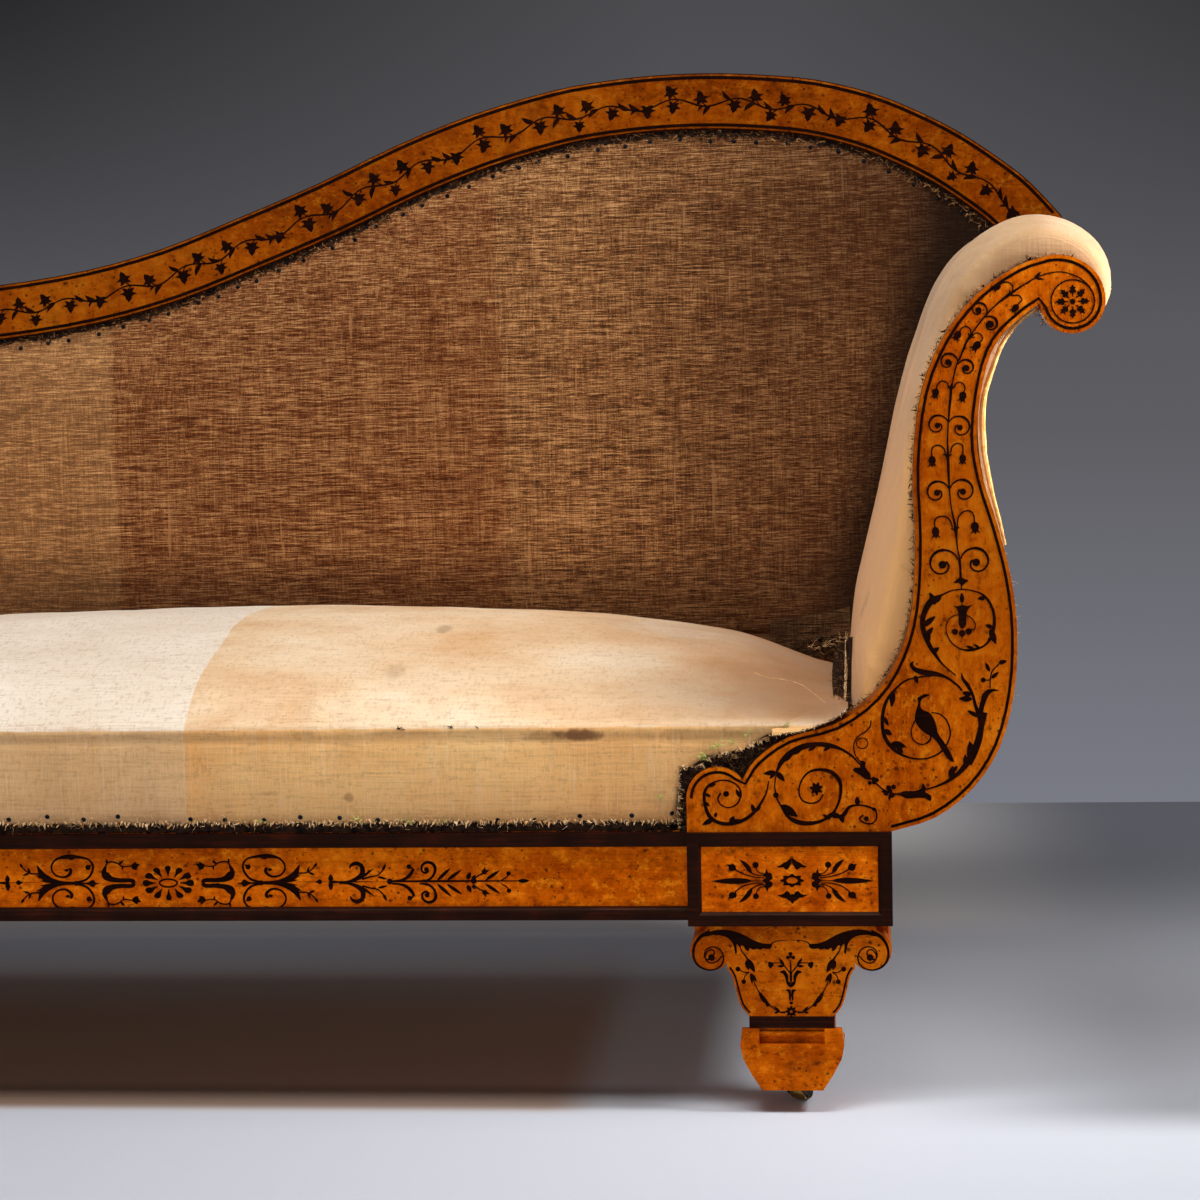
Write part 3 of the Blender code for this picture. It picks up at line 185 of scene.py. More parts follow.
class Look(Nodes):
    """A material in the object's own coordinates in metres, whose colour is painted on in layers."""

    def __init__(self, name):
        self.material = bpy.data.materials.new(name)
        self.material.use_nodes = True
        super().__init__(self.material.node_tree)
        self.shader = self.tree.nodes["Principled BSDF"]
        self.place = self.node("ShaderNodeTexCoord").outputs["Object"]
        self.colour = None

    def paint(self, share, colour):
        """Lays a colour over what is there, as far as the share says."""
        self.colour = self.mix(share, self.colour, colour)

    def set(self, roughness, **values):
        for key, value in {"Base_Color": self.colour, "Roughness": roughness, **values}.items():
            self.put(self.shader.inputs[key.replace("_", " ")], value)

    def bump(self, height, distance, strength):
        made = self.node("ShaderNodeBump", {"Height": height, "Distance": distance, "Strength": strength})
        self.put(self.shader.inputs["Normal"], made.outputs["Normal"])

    def stretched(self, scale, turn=(0, 0, 0)):
        made = self.node("ShaderNodeMapping", {"Vector": self.place, "Scale": scale, "Rotation": turn})
        return made.outputs["Vector"]

    def noise(self, scale, vector=None, detail=3.0, rough=0.55, distort=0.0):
        made = self.node("ShaderNodeTexNoise", {
            "Vector": vector or self.place, "Scale": scale, "Detail": detail,
            "Roughness": rough, "Distortion": distort,
        })
        return made.outputs["Fac"]

    def cells(self, scale, vector, want="Distance"):
        return self.node("ShaderNodeTexVoronoi", {"Vector": vector, "Scale": scale}).outputs[want]

    def weave(self, pitch):
        """Threads in the three directions of space, of which a cloth shows the two that lie in it."""
        x, y, z = (self.math("SINE", self.times(way, 2 * math.pi / pitch)) for way in self.split(self.place))
        return self.scaled(self.plus(self.plus(x, y), z), 0.17, 0.5)


def grained(along, share):
    """The scale that draws a pattern out along the grain."""
    return (share, 1, 1) if along == "X" else (1, 1, share)


def maple(name, along="X", shade=1.0, wear=0.0, seed=0.0, painted_edge_shade=0.0, stem=0.0):
    """Bird's-eye maple veneer: a mottled golden orange with fine grain, curl and clustered dark eyes. A stem is an
    arm's long darker middle under its brighter scroll, whose brightness is a painted highlight. The dark edge is
    painted shade on the faces turned away from the front."""
    look = Look(name)
    lit = partial(tone, bright=shade)
    cloud = look.noise(9, look.stretched(grained(along, 0.35)), 5, 0.6, 0.6)
    curl = look.noise(34, look.stretched(grained("Z" if along == "X" else "X", 0.4)), 3, 0.6, 1.2)
    grain = look.noise(700, look.stretched(grained(along, 0.05)), 2, 0.6)
    figure = look.plus(look.times(cloud, 0.62), look.times(curl, 0.38))
    figure = look.scaled(grain, 0.16, look.minus(figure, 0.08))
    look.colour = look.ramp(
        figure, (0.30, lit(146, 54, 0)), (0.43, lit(188, 78, 0)), (0.55, lit(220, 102, 4)), (0.70, lit(250, 138, 20))
    )
    mottle = look.noise(105, look.stretched(grained(along, 0.7), (seed, 0, seed)), 5, 0.78)
    look.paint(look.band(mottle, 0.51, 0.66, 0, 0.55), lit(255, 150, 26))
    look.paint(look.band(mottle, 0.49, 0.34, 0, 0.62), lit(112, 34, 0))
    flock = look.band(look.noise(11, detail=2), 0.38, 0.52)
    shifted = look.stretched((1, 1, 1), (seed, 0.3, seed))
    for scale, size in ((62, 0.085), (110, 0.11), (190, 0.12)):
        lot = look.node("ShaderNodeSeparateColor", {"Color": look.cells(scale, shifted, "Color")}).outputs["Red"]
        eye = look.band(look.cells(scale, shifted), size * 2.2, size * 0.7)
        eye = look.times(look.times(eye, look.band(lot, 0.52, 0.6)), flock)
        look.paint(look.times(eye, 0.85), lit(66, 22, 2))
    fleck = look.noise(330, look.stretched(grained(along, 0.45), (0, 0.5, 0)), 2, 0.7)
    fleck = look.times(look.band(fleck, 0.60, 0.70, 0, 0.7), look.band(cloud, 0.62, 0.46, 0.15, 1.0))
    look.paint(fleck, lit(92, 34, 3))
    if wear:
        worn = look.band(look.noise(26, detail=6, rough=0.7), 0.5, 0.66)
        look.paint(look.times(worn, wear), lit(62, 24, 8))
    if stem:
        height = look.split(look.place)[2]
        off = look.math("ABSOLUTE", look.minus(height, 0.53))
        look.paint(look.band(off, 0.20, 0.05, 0, stem), lit(104, 34, 0))
        # Painted highlight: the top of the arm is painted brighter, as where the lamp above lights it.
        look.paint(look.band(height, 0.76, 0.86, 0, 0.50), lit(255, 168, 30))
    if painted_edge_shade:
        # Painted shade: faces turned away from the front, such as the top and the rounded edges, are darkened.
        facing = look.math("ABSOLUTE", look.split(look.node("ShaderNodeTexCoord").outputs["Normal"])[1])
        look.paint(look.band(facing, 0.985, 0.80, 0, painted_edge_shade), lit(34, 11, 2))
    look.set(look.band(cloud, 0.3, 0.7, 0.44, 0.34), Specular_IOR_Level=0.10, Specular_Tint=(1.0, 0.52, 0.12, 1))
    look.bump(look.plus(grain, look.times(curl, 1.5)), 0.00012, 0.5)
    return look.material


def amaranth(name, bright, shine):
    """Dark purple-brown wood with thin reddish streaks along the grain."""
    look = Look(name)
    lit = partial(tone, bright=bright)
    streak = look.noise(420, look.stretched(grained("X", 0.03)), 3, 0.65)
    blotch = look.noise(30, detail=4)
    both = look.plus(look.times(streak, 0.6), look.times(blotch, 0.4))
    look.colour = look.ramp(both, (0.36, lit(24, 6, 4)), (0.52, lit(44, 12, 7)), (0.68, lit(86, 26, 9)))
    look.set(look.band(blotch, 0.3, 0.7, 0.58, 0.46), Specular_IOR_Level=shine, Specular_Tint=(1.0, 0.6, 0.4, 1))
    look.bump(streak, 0.00012, 0.6)
    return look.material


def plain_wood(name, along="X"):
    """Unpolished beech with darker pores and old dirt."""
    look = Look(name)
    grain = look.noise(300, look.stretched(grained(along, 0.04)), 4, 0.6)
    dirt = look.noise(8, detail=6, rough=0.65)
    look.colour = look.ramp(grain, (0.34, tone(112, 72, 40)), (0.52, tone(158, 110, 66)), (0.7, tone(184, 138, 90)))
    look.paint(look.band(dirt, 0.46, 0.72, 0, 0.7), tone(84, 55, 34))
    look.set(look.band(dirt, 0.3, 0.7, 0.78, 0.6))
    look.bump(grain, 0.0003, 0.6)
    return look.material


def metal(name, dark, light, rough):
    look = Look(name)
    patch = look.noise(180, detail=5, rough=0.7)
    look.colour = look.ramp(patch, (0.35, dark), (0.65, light))
    look.set(look.band(patch, 0.3, 0.7, rough + 0.18, rough), Metallic=1.0)
    look.bump(patch, 0.0002, 0.4)
    return look.material


def fibre(name, first, second, rough=0.8):
    """Loose threads or hair, a little different from one to the next."""
    look = Look(name)
    look.colour = look.ramp(look.noise(160, detail=2), (0.35, first), (0.65, second))
    look.set(rough, Specular_IOR_Level=0.12)
    look.bump(look.noise(2200), 0.0001, 0.4)
    return look.material


def calico(name, first, second, stain=0.35, seed=0.0, low=0.0):
    """Unbleached linen with slubs, faint stains and a woven surface. With low, its lower part is painted brighter and
    warmer than its top, as painted light and shade.
    """
    look = Look(name)
    patch = look.noise(5.5, look.stretched((1, 1, 1), (seed, seed, 0)), 5, 0.6)
    slub = look.noise(260, look.stretched((0.06, 0.06, 1)), 3, 0.6)
    other = look.noise(260, look.stretched((1, 1, 0.06)), 3, 0.6)
    look.colour = look.ramp(patch, (0.36, first), (0.64, second))
    look.paint(look.band(slub, 0.45, 0.75, 0, 0.35), tone(196, 158, 112))
    look.paint(look.band(other, 0.5, 0.75, 0, 0.08), tone(252, 238, 216))
    if low:
        # Painted light and shade: below a height the cloth turns brighter and warmer, and the top keeps the darker tone
        # against the strong light from above.
        depth = look.scaled(look.noise(7, detail=4), 0.2, look.minus(look.split(look.place)[2], 0.1))
        look.paint(look.band(depth, 0.78, 0.55, 0, low), tone(255, 190, 116))
    look.paint(look.band(look.noise(17, detail=6, rough=0.65), 0.60, 0.74, 0, stain), tone(150, 96, 50))
    look.set(0.92, Sheen_Weight=0.15)
    look.bump(look.plus(look.times(look.weave(0.0011), 0.7), look.plus(slub, other)), 0.0006, 0.55)
    return look.material


def canvas_look(name, light=1.0, plain=False):
    """Brown hessian: coarse threads with darker and paler runs. The back's own, which is not plain, also has three
    widths of different browns, a few pale single threads, and painted shade below, beside the pad and at its head."""
    look = Look(name)
    lit = partial(tone, bright=light)
    across = look.noise(860, look.stretched((0.045, 1, 1)), 2, 0.8)
    runs = look.noise(430, look.stretched((0.04, 1, 1)), 4, 0.75)
    wide = look.noise(22, look.stretched((0.12, 1, 1)), 4, 0.6)
    down = look.noise(860, look.stretched((1, 1, 0.045), (0, 0.02, 0)), 2, 0.8)
    other = look.noise(430, look.stretched((1, 1, 0.04), (0, 0.02, 0)), 3, 0.7)
    knots = look.noise(1000, detail=1, rough=0.6)
    both = look.plus(look.times(across, 0.38), look.times(runs, 0.15))
    both = look.plus(both, look.times(wide, 0.07))
    both = look.plus(both, look.times(look.plus(other, look.plus(down, knots)), 0.1333))
    look.colour = look.ramp(both, (0.44, lit(50, 22, 7)), (0.5, lit(140, 84, 42)), (0.565, lit(236, 178, 116)))
    look.paint(look.band(down, 0.48, 0.62, 0, 0.50), lit(70, 36, 16))
    look.paint(look.band(down, 0.42, 0.32, 0, 0.36), lit(226, 178, 122))
    if not plain:
        x, _, z = look.split(look.place)
        single = look.noise(150, look.stretched((1, 1, 0.05), (0.3, 0.02, 0)), 2, 0.5)
        look.paint(look.band(single, 0.70, 0.74, 0, 0.5), tone(216, 158, 104))
        wavy = look.plus(x, look.times(look.noise(5), 0.03))
        right = look.band(wavy, CANVAS_SEAMS[1] - 0.004, CANVAS_SEAMS[1] + 0.004)
        left = look.band(wavy, CANVAS_SEAMS[0] + 0.005, CANVAS_SEAMS[0] - 0.005)
        look.paint(look.times(left, 0.20), tone(214, 160, 104))
        look.paint(look.times(look.minus(1.0, look.plus(left, right)), 0.26), tone(120, 56, 24))
        look.paint(look.times(right, 0.06), tone(150, 118, 80))
        # Painted shade: darker towards the head end, beside the arm.
        deep = look.plus(x, look.times(look.noise(4.5, detail=5), 0.35))
        look.paint(look.band(deep, 0.40, 0.95, 0, 0.78), tone(58, 24, 6))
        # Painted shadow: near-black in a band beside the pad's edge.
        (x0, z0), (x1, z1) = (seen(px, py, CANVAS_PLANE) for px, py in PAD_EDGE)
        beside = look.scaled(z, -(x1 - x0) / (z1 - z0), x)
        beside = look.minus(beside, x0 - z0 * (x1 - x0) / (z1 - z0))
        look.paint(look.band(beside, -0.085, 0.0, 0, 0.85), tone(16, 9, 4))
        # Painted shade: darker towards the foot of the back, above the seat.
        low = look.minus(z, look.times(look.noise(9, detail=4), 0.06))
        look.paint(look.band(low, 0.47, 0.385, 0, 0.5), tone(44, 24, 12))
    look.set(0.95, Specular_IOR_Level=0.15)
    look.bump(look.plus(look.times(across, 0.8), look.times(down, 0.7)), 0.0012, 0.9)
    return look.material


def web_look(name):
    look = Look(name)
    look.colour = look.ramp(look.noise(240, detail=3), (0.35, tone(142, 116, 80)), (0.65, tone(178, 150, 108)))
    look.set(0.95)
    look.bump(look.weave(0.0022), 0.0008, 0.7)
    return look.material


# Meshes


def link(obj):
    bpy.context.scene.collection.objects.link(obj)
    return obj


def made_from(bm, name):
    """A linked object with the faces of a bmesh, which is freed."""
    mesh = bpy.data.meshes.new(name)
    bm.to_mesh(mesh)
    bm.free()
    return link(bpy.data.objects.new(name, mesh))


def dressed(obj, material):
    """Gives a finished piece its material; it moves with the frame."""
    obj.data.materials.clear()
    obj.data.materials.append(material)
    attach(obj, "frame")
    return obj


def rim_faces(base, count):
    """The quads between two rings of count points, one stored after the other from base."""
    return [(base + i, base + (i + 1) % count, base + count + (i + 1) % count, base + count + i) for i in range(count)]


def slab_faces(base, count, caps):
    """Every face of a slab with its front and back rings stored from base, and caps filling a ring."""
    faces = []
    for cap in caps:
        faces += [[base + i for i in cap], [base + count + i for i in reversed(cap)]]
    return faces + rim_faces(base, count)


def strip_caps(count):
    """The quads that fill a ring made of one side of a strip and then its other side backwards."""
    return [(i, i + 1, 2 * count - 2 - i, 2 * count - 1 - i) for i in range(count - 1)]


def filled(ring):
    """The triangles that fill a ring of (X, Z) points."""
    return [tuple(cap) for cap in tessellate_polygon([[Vector((x, z, 0)) for x, z in ring]])]


def mesh_piece(name, points, faces, smooth=False):
    mesh = bpy.data.meshes.new(name)
    mesh.from_pydata([tuple(p) for p in points], [], faces)
    mesh.validate()
    bm = bmesh.new()
    bm.from_mesh(mesh)
    bmesh.ops.recalc_face_normals(bm, faces=bm.faces)
    bm.to_mesh(mesh)
    bm.free()
    mesh.polygons.foreach_set("use_smooth", [smooth] * len(mesh.polygons))
    return link(bpy.data.objects.new(name, mesh))


def welded(node):
    """A bmesh of a CAD node with its split corners joined."""
    bm = bmesh.new()
    bm.from_mesh(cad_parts[node].data)
    bmesh.ops.remove_doubles(bm, verts=bm.verts, dist=1e-5)
    return bm


def face_loop(node, level):
    """The longest edge loop round a node's flat face at Y = level, as (X, Z) points in order, none of them twice."""
    bm = welded(node)
    flat = {f for f in bm.faces if all(abs(v.co.y - level) < 2e-5 for v in f.verts)}
    rim = [e for e in bm.edges if sum(f in flat for f in e.link_faces) == 1]
    follow = {}
    for edge in rim:
        a, b = edge.verts
        follow.setdefault(a, []).append(b)
        follow.setdefault(b, []).append(a)
    loops = []
    while follow:
        start = next(iter(follow))
        loop, here = [start], start
        while follow.get(here):
            there = follow[here].pop()
            follow[there].remove(here)
            if not follow[here]:
                del follow[here]
            loop.append(there)
            here = there
            if here is start:
                break
        if not follow.get(here):
            follow.pop(here, None)
        loops.append([(v.co.x, v.co.z) for v in loop])
    bm.free()
    best = max(loops, key=len)
    area = sum(a[0] * b[1] - b[0] * a[1] for a, b in zip(best, best[1:]))
    best = best if area > 0 else best[::-1]
    return best[:-1] if best[0] == best[-1] else best


def smooth_path(keys, steps=6, closed=False):
    """Points of a Catmull-Rom curve through the keys."""
    keys = [tuple(k) for k in keys]
    if closed:
        held = [keys[-1], *keys, keys[0], keys[1]]
    else:
        first = tuple(2 * a - b for a, b in zip(keys[0], keys[1]))
        last = tuple(2 * a - b for a, b in zip(keys[-1], keys[-2]))
        held = [first, *keys, last]
    path = []
    for a, b, c, d in zip(held, held[1:], held[2:], held[3:]):
        for step in range(steps):
            t = step / steps
            path.append(tuple(
                b[i] + (c[i] - a[i]) * t / 2 + (a[i] - 2.5 * b[i] + 2 * c[i] - d[i] / 2) * t**2
                + (1.5 * b[i] - 1.5 * c[i] + d[i] / 2 - a[i] / 2) * t**3
                for i in range(len(b))
            ))
    if not closed:
        path.append(keys[-1])
    return path


def side_steps(path, closed=False):
    """Unit normals on the left of a path's direction."""
    found = []
    last = len(path) - 1
    for i in range(len(path)):
        a = path[i - 1] if closed or i else path[0]
        b = path[(i + 1) % len(path)] if closed or i < last else path[last]
        length = math.hypot(b[0] - a[0], b[1] - a[1]) or 1
        found.append((-(b[1] - a[1]) / length, (b[0] - a[0]) / length))
    return found


def inside_path(ring, distance):
    """A closed outline moved inwards, and which of its points no tight corner has folded over."""
    moved = [(p[0] + n[0] * distance, p[1] + n[1] * distance) for p, n in zip(ring, side_steps(ring, True))]
    edge = np.array(ring)
    ends = np.roll(edge, -1, axis=0)
    run = ends - edge
    size = np.maximum((run**2).sum(1), 1e-12)
    kept = []
    for point in moved:
        share = np.clip(((point - edge) * run).sum(1) / size, 0, 1)
        gap = np.hypot(*(point - edge - run * share[:, None]).T).min()
        kept.append(gap > distance * 0.93)
    return moved, kept


def same(x, z):
    return (x, z)


def other_end(x, z):
    return (-x, z)


class Inlay:
    """Thin closed shapes let into an upright plane and standing a hair proud of it, gathered into one piece. Each
    shape is laid once by every one of its moves."""

    PROUD = 0.00022
    SUNK = 0.0004

    def __init__(self, name, plane, moves=(same,)):
        self.name, self.plane, self.moves = name, plane, moves
        self.points, self.faces = [], []

    def slab(self, ring, caps):
        """Front and back of a shape, from its ring of (X, Z) points and the triangles or quads that fill it."""
        for move in self.moves:
            rise = self.PROUD + RNG.random() * 0.00006
            moved = [move(x, z) for x, z in ring]
            self.faces += slab_faces(len(self.points), len(ring), caps)
            self.points += [(x, self.plane - rise, z) for x, z in moved]
            self.points += [(x, self.plane + self.SUNK, z) for x, z in moved]

    def ribbon(self, path, halves, smooth=6):
        """A strip along a path, with a half width for each key or one for all."""
        if not hasattr(halves, "__len__"):
            halves = [halves] * len(path)
        keys = [(x, z, h) for (x, z), h in zip(path, halves)]
        full = smooth_path(keys, smooth) if smooth > 1 else keys
        line = [(x, z) for x, z, _ in full]
        steps = side_steps(line)
        left = [(p[0] + n[0] * h, p[1] + n[1] * h) for p, n, (_, _, h) in zip(line, steps, full)]
        right = [(p[0] - n[0] * h, p[1] - n[1] * h) for p, n, (_, _, h) in zip(line, steps, full)]
        self.strip(left, right)

    def strip(self, left, right):
        self.slab(left + right[::-1], strip_caps(len(left)))

    def outline(self, ring, smooth=0):
        if smooth:
            ring = smooth_path(ring, smooth, closed=True)
        self.slab(ring, filled(ring))

    def blob(self, centre, radius, count=14):
        turns = [2 * math.pi * i / count for i in range(count)]
        self.outline([(centre[0] + radius * math.cos(a), centre[1] + radius * math.sin(a)) for a in turns])

    def flower(self, centre, radius, petals, depth=0.25, hole=0.0, flat=1.0, turn=0.0, sharp=False):
        """A rosette of round or pointed petals, with the wood showing through its middle if it has a hole."""
        count = petals * 8
        outer, inner = [], []
        for i in range(count + 1):
            angle = 2 * math.pi * i / count + turn
            wave = math.cos(petals * (angle - turn))
            wave = (1 - abs((i / 8) % 1 * 2 - 1)) * -2 + 1 if sharp else math.copysign(abs(wave) ** 0.6, wave)
            reach = radius * (1 - depth / 2 + wave * depth / 2)
            outer.append((centre[0] + reach * math.cos(angle), centre[1] + flat * reach * math.sin(angle)))
            inner.append((centre[0] + hole * math.cos(angle), centre[1] + flat * hole * math.sin(angle)))
        if hole:
            self.strip(outer, inner)
        else:
            self.outline(outer[:-1])

    def leaf(self, base, tip, width, bend=0.0):
        """A pointed leaf from base to tip, bowed to the left by a share of its length."""
        run = (tip[0] - base[0], tip[1] - base[1])
        size = math.hypot(*run)
        along = (run[0] / size, run[1] / size)
        across = (-along[1], along[0])
        left, right = [], []
        count = 12
        for i in range(count + 1):
            t = i / count
            bow = bend * size * 4 * t * (1 - t)
            half = width / 2 * math.sin(math.pi * t ** 0.8) ** 0.8 if 0 < t < 1 else 0.00005
            x, z = base[0] + along[0] * size * t + across[0] * bow, base[1] + along[1] * size * t + across[1] * bow
            left.append((x + across[0] * half, z + across[1] * half))
            right.append((x - across[0] * half, z - across[1] * half))
        self.strip(left, right)

    def build(self, material):
        return dressed(mesh_piece(self.name, self.points, self.faces), material)


# The materials. Shades, wear and seeds differ, so that no two woods look cut from one board.
MAPLE_RAIL = maple("Maple along the rail", "X", 1.07)
MAPLE_ARM = maple("Maple up the arm", "Z", 0.94, seed=0.7, painted_edge_shade=0.5, stem=0.42)
MAPLE_CREST = maple("Maple of the crest", "X", 0.72, wear=0.25, seed=1.3, painted_edge_shade=0.9)
MAPLE_LEG = maple("Maple of the legs", "X", 0.90, seed=2.1)
MAPLE_FOOT = maple("Worn maple of the feet", "X", 0.97, wear=0.40, seed=2.9)
MAPLE_REAR = maple("Maple of the rear arm", "Z", 0.62, wear=0.4, seed=3.7)
AMARANTH = amaranth("Amaranth", bright=0.74, shine=0.12)
INLAY = amaranth("Inlaid amaranth", bright=0.56, shine=0.05)
BEECH = plain_wood("Beech")
BEECH_UP = plain_wood("Beech upright", "Z")
IRON = metal("Iron", tone(38, 34, 33), tone(82, 74, 68), 0.42)
BRASS = metal("Brass", tone(126, 96, 48), tone(206, 170, 96), 0.28)
WEBBING = web_look("Jute webbing")
# X of the two seams of the back's canvas, and two pixels on the edge of the pad in front of it
CANVAS_SEAMS = [seen(px, 450, CANVAS_PLANE)[0] for px in (130, 516)]
PAD_EDGE = ((875, 576), (943, 282))
HESSIAN = canvas_look("Brown hessian")
REAR_CLOTH = canvas_look("Cloth on the rear", 0.92, plain=True)
# Darker than the back's own canvas: dirt and painted shade where the torn canvas meets the seat.
DARK_CANVAS = canvas_look("Torn dirty canvas in painted shade", 0.5, plain=True)
OUTER_CLOTH = calico("Calico of the arms' outer sides", tone(232, 198, 146), tone(248, 222, 176),
                     stain=0.45, seed=4.4)
HAIR = fibre("Horsehair", tone(10, 6, 4), tone(58, 34, 20))
LIGHT_HAIR = fibre("Lighter hair and fibre", tone(74, 46, 26), tone(150, 110, 72))
FRAYED = fibre("Frayed calico threads", tone(196, 140, 82), tone(238, 200, 150), 0.9)
FRAYED_BROWN = fibre("Frayed canvas threads", tone(84, 52, 26), tone(176, 126, 74), 0.9)
ROLLED = fibre("Rolled calico edge", tone(224, 160, 82), tone(250, 204, 130), 0.95)
GREEN = fibre("Pale green threads", tone(140, 150, 66), tone(206, 214, 128), 0.85)
TACK = metal("Blued tack heads", tone(10, 12, 16), tone(44, 50, 60), 0.4)

# Which nodes are of which material, by the start of their names; the longest start counts
NODES_OF = (
    (MAPLE_RAIL, "front_rail", "corner_block"), (MAPLE_ARM, "arm_front_board"), (MAPLE_REAR, "arm_rear_board"),
    (MAPLE_CREST, "crest_rail"), (MAPLE_LEG, "leg_volute"), (MAPLE_FOOT, "foot"),
    (AMARANTH, "front_rail_top_moulding", "front_rail_bottom_moulding", "block_frame_front", "leg_neck"),
    (BEECH, "arm_roll_rail", "back_lower_rail", "end_rail", "rear_seat_rail", "seat_cross_brace"),
    (BEECH_UP, "back_muntin"), (IRON, "caster_horn", "caster_axle", "caster_plate"), (BRASS, "caster_wheel"),
)
LOOK_OF = {start: material for material, *starts in NODES_OF for start in starts}
for node_name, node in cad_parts.items():
    wanted = [start for start in LOOK_OF if node_name.startswith(start)]
    if wanted:
        material = LOOK_OF[max(wanted, key=len)]
        if not node.material_slots:
            node.data.materials.append(material)
        for held in node.material_slots:
            held.material = material


def eared(node):
    """A foot whose two ears stand only at its face: behind them its shoulders fall away beside the neck."""
    # Two cuts 0.4 mm apart behind the ears and beside the neck hold the face, and what lies past both falls
    deep, flank = (0.0082, 0.0086), (0.0387, 0.0391)
    bm = bmesh.new()
    bm.from_mesh(node.data)
    bm.transform(node.matrix_world)
    low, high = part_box(node.name)
    centre = (low.x + high.x) / 2
    sign = 1 if low.y < 0 else -1
    face = low.y if sign > 0 else high.y
    cuts = [((0, face + sign * depth, 0), (0, 1, 0)) for depth in deep]
    cuts += [((centre + way * half, 0, 0), (1, 0, 0)) for way in (-1, 1) for half in flank[::way]]
    for place, way in cuts:
        everything = bm.verts[:] + bm.edges[:] + bm.faces[:]
        bmesh.ops.bisect_plane(bm, geom=everything, plane_co=place, plane_no=way, dist=1e-5)
    for vert in bm.verts:
        depth = sign * (vert.co.y - face)
        if depth > 0.0084 and abs(vert.co.x - centre) > 0.0390:
            vert.co.z = min(vert.co.z, high.z - 0.001 - 0.30 * depth)
    foot = made_from(bm, node.name + "_eared")
    foot.data.materials.append(MAPLE_FOOT)
    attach(foot, "frame")
    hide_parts(node.name)


for ends in ("front_left", "front_right", "rear_left", "rear_right"):
    eared(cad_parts[f"foot_{ends}"])


# Marquetry. Its points were read in enlarged parts of the photograph and are laid on the object's own planes.


class Drawing:
    """Draws inlay from points of an enlarged part of the photograph: its left, top and scale, in pixels."""

    def __init__(self, inlay, left, top, scale):
        self.inlay, self.left, self.top, self.scale = inlay, left, top, scale
        self.pixel = (seen(601, 600, inlay.plane)[0] - seen(600, 600, inlay.plane)[0]) / scale

    def at(self, x, y):
        return seen(self.left + x / self.scale, self.top + y / self.scale, self.inlay.plane)

    def line(self, points, halves, smooth=6):
        if not hasattr(halves, "__len__"):
            halves = [halves] * len(points)
        halves = [h * self.pixel for h in halves]
        self.inlay.ribbon([self.at(*p) for p in points], halves, smooth)

    def leaves(self, *leaves):
        """Each leaf is its base, its tip, its width and, if it is bowed, its bend."""
        for x0, y0, x1, y1, width, *bend in leaves:
            self.inlay.leaf(self.at(x0, y0), self.at(x1, y1), width * self.pixel, *bend)

    def dots(self, *dots):
        for x, y, radius in dots:
            self.inlay.blob(self.at(x, y), radius * self.pixel)

    def shape(self, points, smooth=3):
        self.inlay.outline([self.at(*p) for p in points], smooth)

    def volute(self, start, eye, way, thick=8, blob=24, turn=385):
        """A curl from the stem round to its eye, leafy over its top."""
        a, b = self.at(*start), self.at(*eye)
        reach = math.hypot(a[0] - b[0], a[1] - b[1])
        first = math.atan2(a[1] - b[1], a[0] - b[0])
        path, halves = [], []
        steps = 36
        for i in range(steps + 1):
            u = i / steps
            angle = first + way * math.radians(turn) * u
            radius = reach * (1 - 0.74 * u**1.25)
            path.append((b[0] + radius * math.cos(angle), b[1] + radius * math.sin(angle)))
            leafy = math.exp(-((u - 0.25) / 0.16) ** 2) * (0.55 + 0.45 * ((u * 30) % 1))
            halves.append((0.42 + 0.58 * leafy + 0.18 * u) * thick * self.pixel)
        self.inlay.ribbon(path, halves, 1)
        self.inlay.blob(b, blob * self.pixel)

    def ahead(self, place, tip, length):
        """The step this long from one point towards another."""
        x0, z0 = self.at(*place)
        x1, z1 = self.at(*tip)
        size = math.hypot(x1 - x0, z1 - z0)
        return ((x1 - x0) / size * length * self.pixel, (z1 - z0) / size * length * self.pixel)

    def shaped(self, place, u, half_shape, middle=()):
        """A shape that is the same on both sides of the step u, from place."""
        x, z = self.at(*place)
        shape = half_shape + [*middle] + [(a, -b) for a, b in reversed(half_shape)]
        self.inlay.outline([(x + u[0] * a - u[1] * b, z + u[1] * a + u[0] * b) for a, b in shape])

    def bell(self, path, length, half=4):
        """A bell flower hanging from the end of a curved stalk."""
        self.line(path, half)
        self.shaped(path[-1], self.ahead(path[-2], path[-1], length), [
            (0, 0.1), (0.12, 0.27), (0.4, 0.36), (0.72, 0.25), (1.0, 0.42), (0.86, 0.12)], [(1.06, 0)])

    def cup(self, x, y, ahead, length):
        """The leafy joint where two stalks leave the stem; ahead is a point further up the stem."""
        self.shaped((x, y), self.ahead((x, y), ahead, length), [
            (-1.0, 0.04), (-0.3, 0.17), (0.15, 0.3), (0.42, 0.62), (0.5, 0.58), (0.42, 0.24), (0.9, 0.07)])


# The frieze of the front rail: read to the right of its middle rosette, and mirrored about the rosette's two axes
frieze = Inlay("frieze_inlay", RAIL_PLANE)
near = Drawing(frieze, 0, 830, 5.227)
AXIS_X, AXIS_Z = near.at(880, 277)


def mirrored_x(x, z):
    return (2 * AXIS_X - x, z)


def mirrored_z(x, z):
    return (x, 2 * AXIS_Z - z)


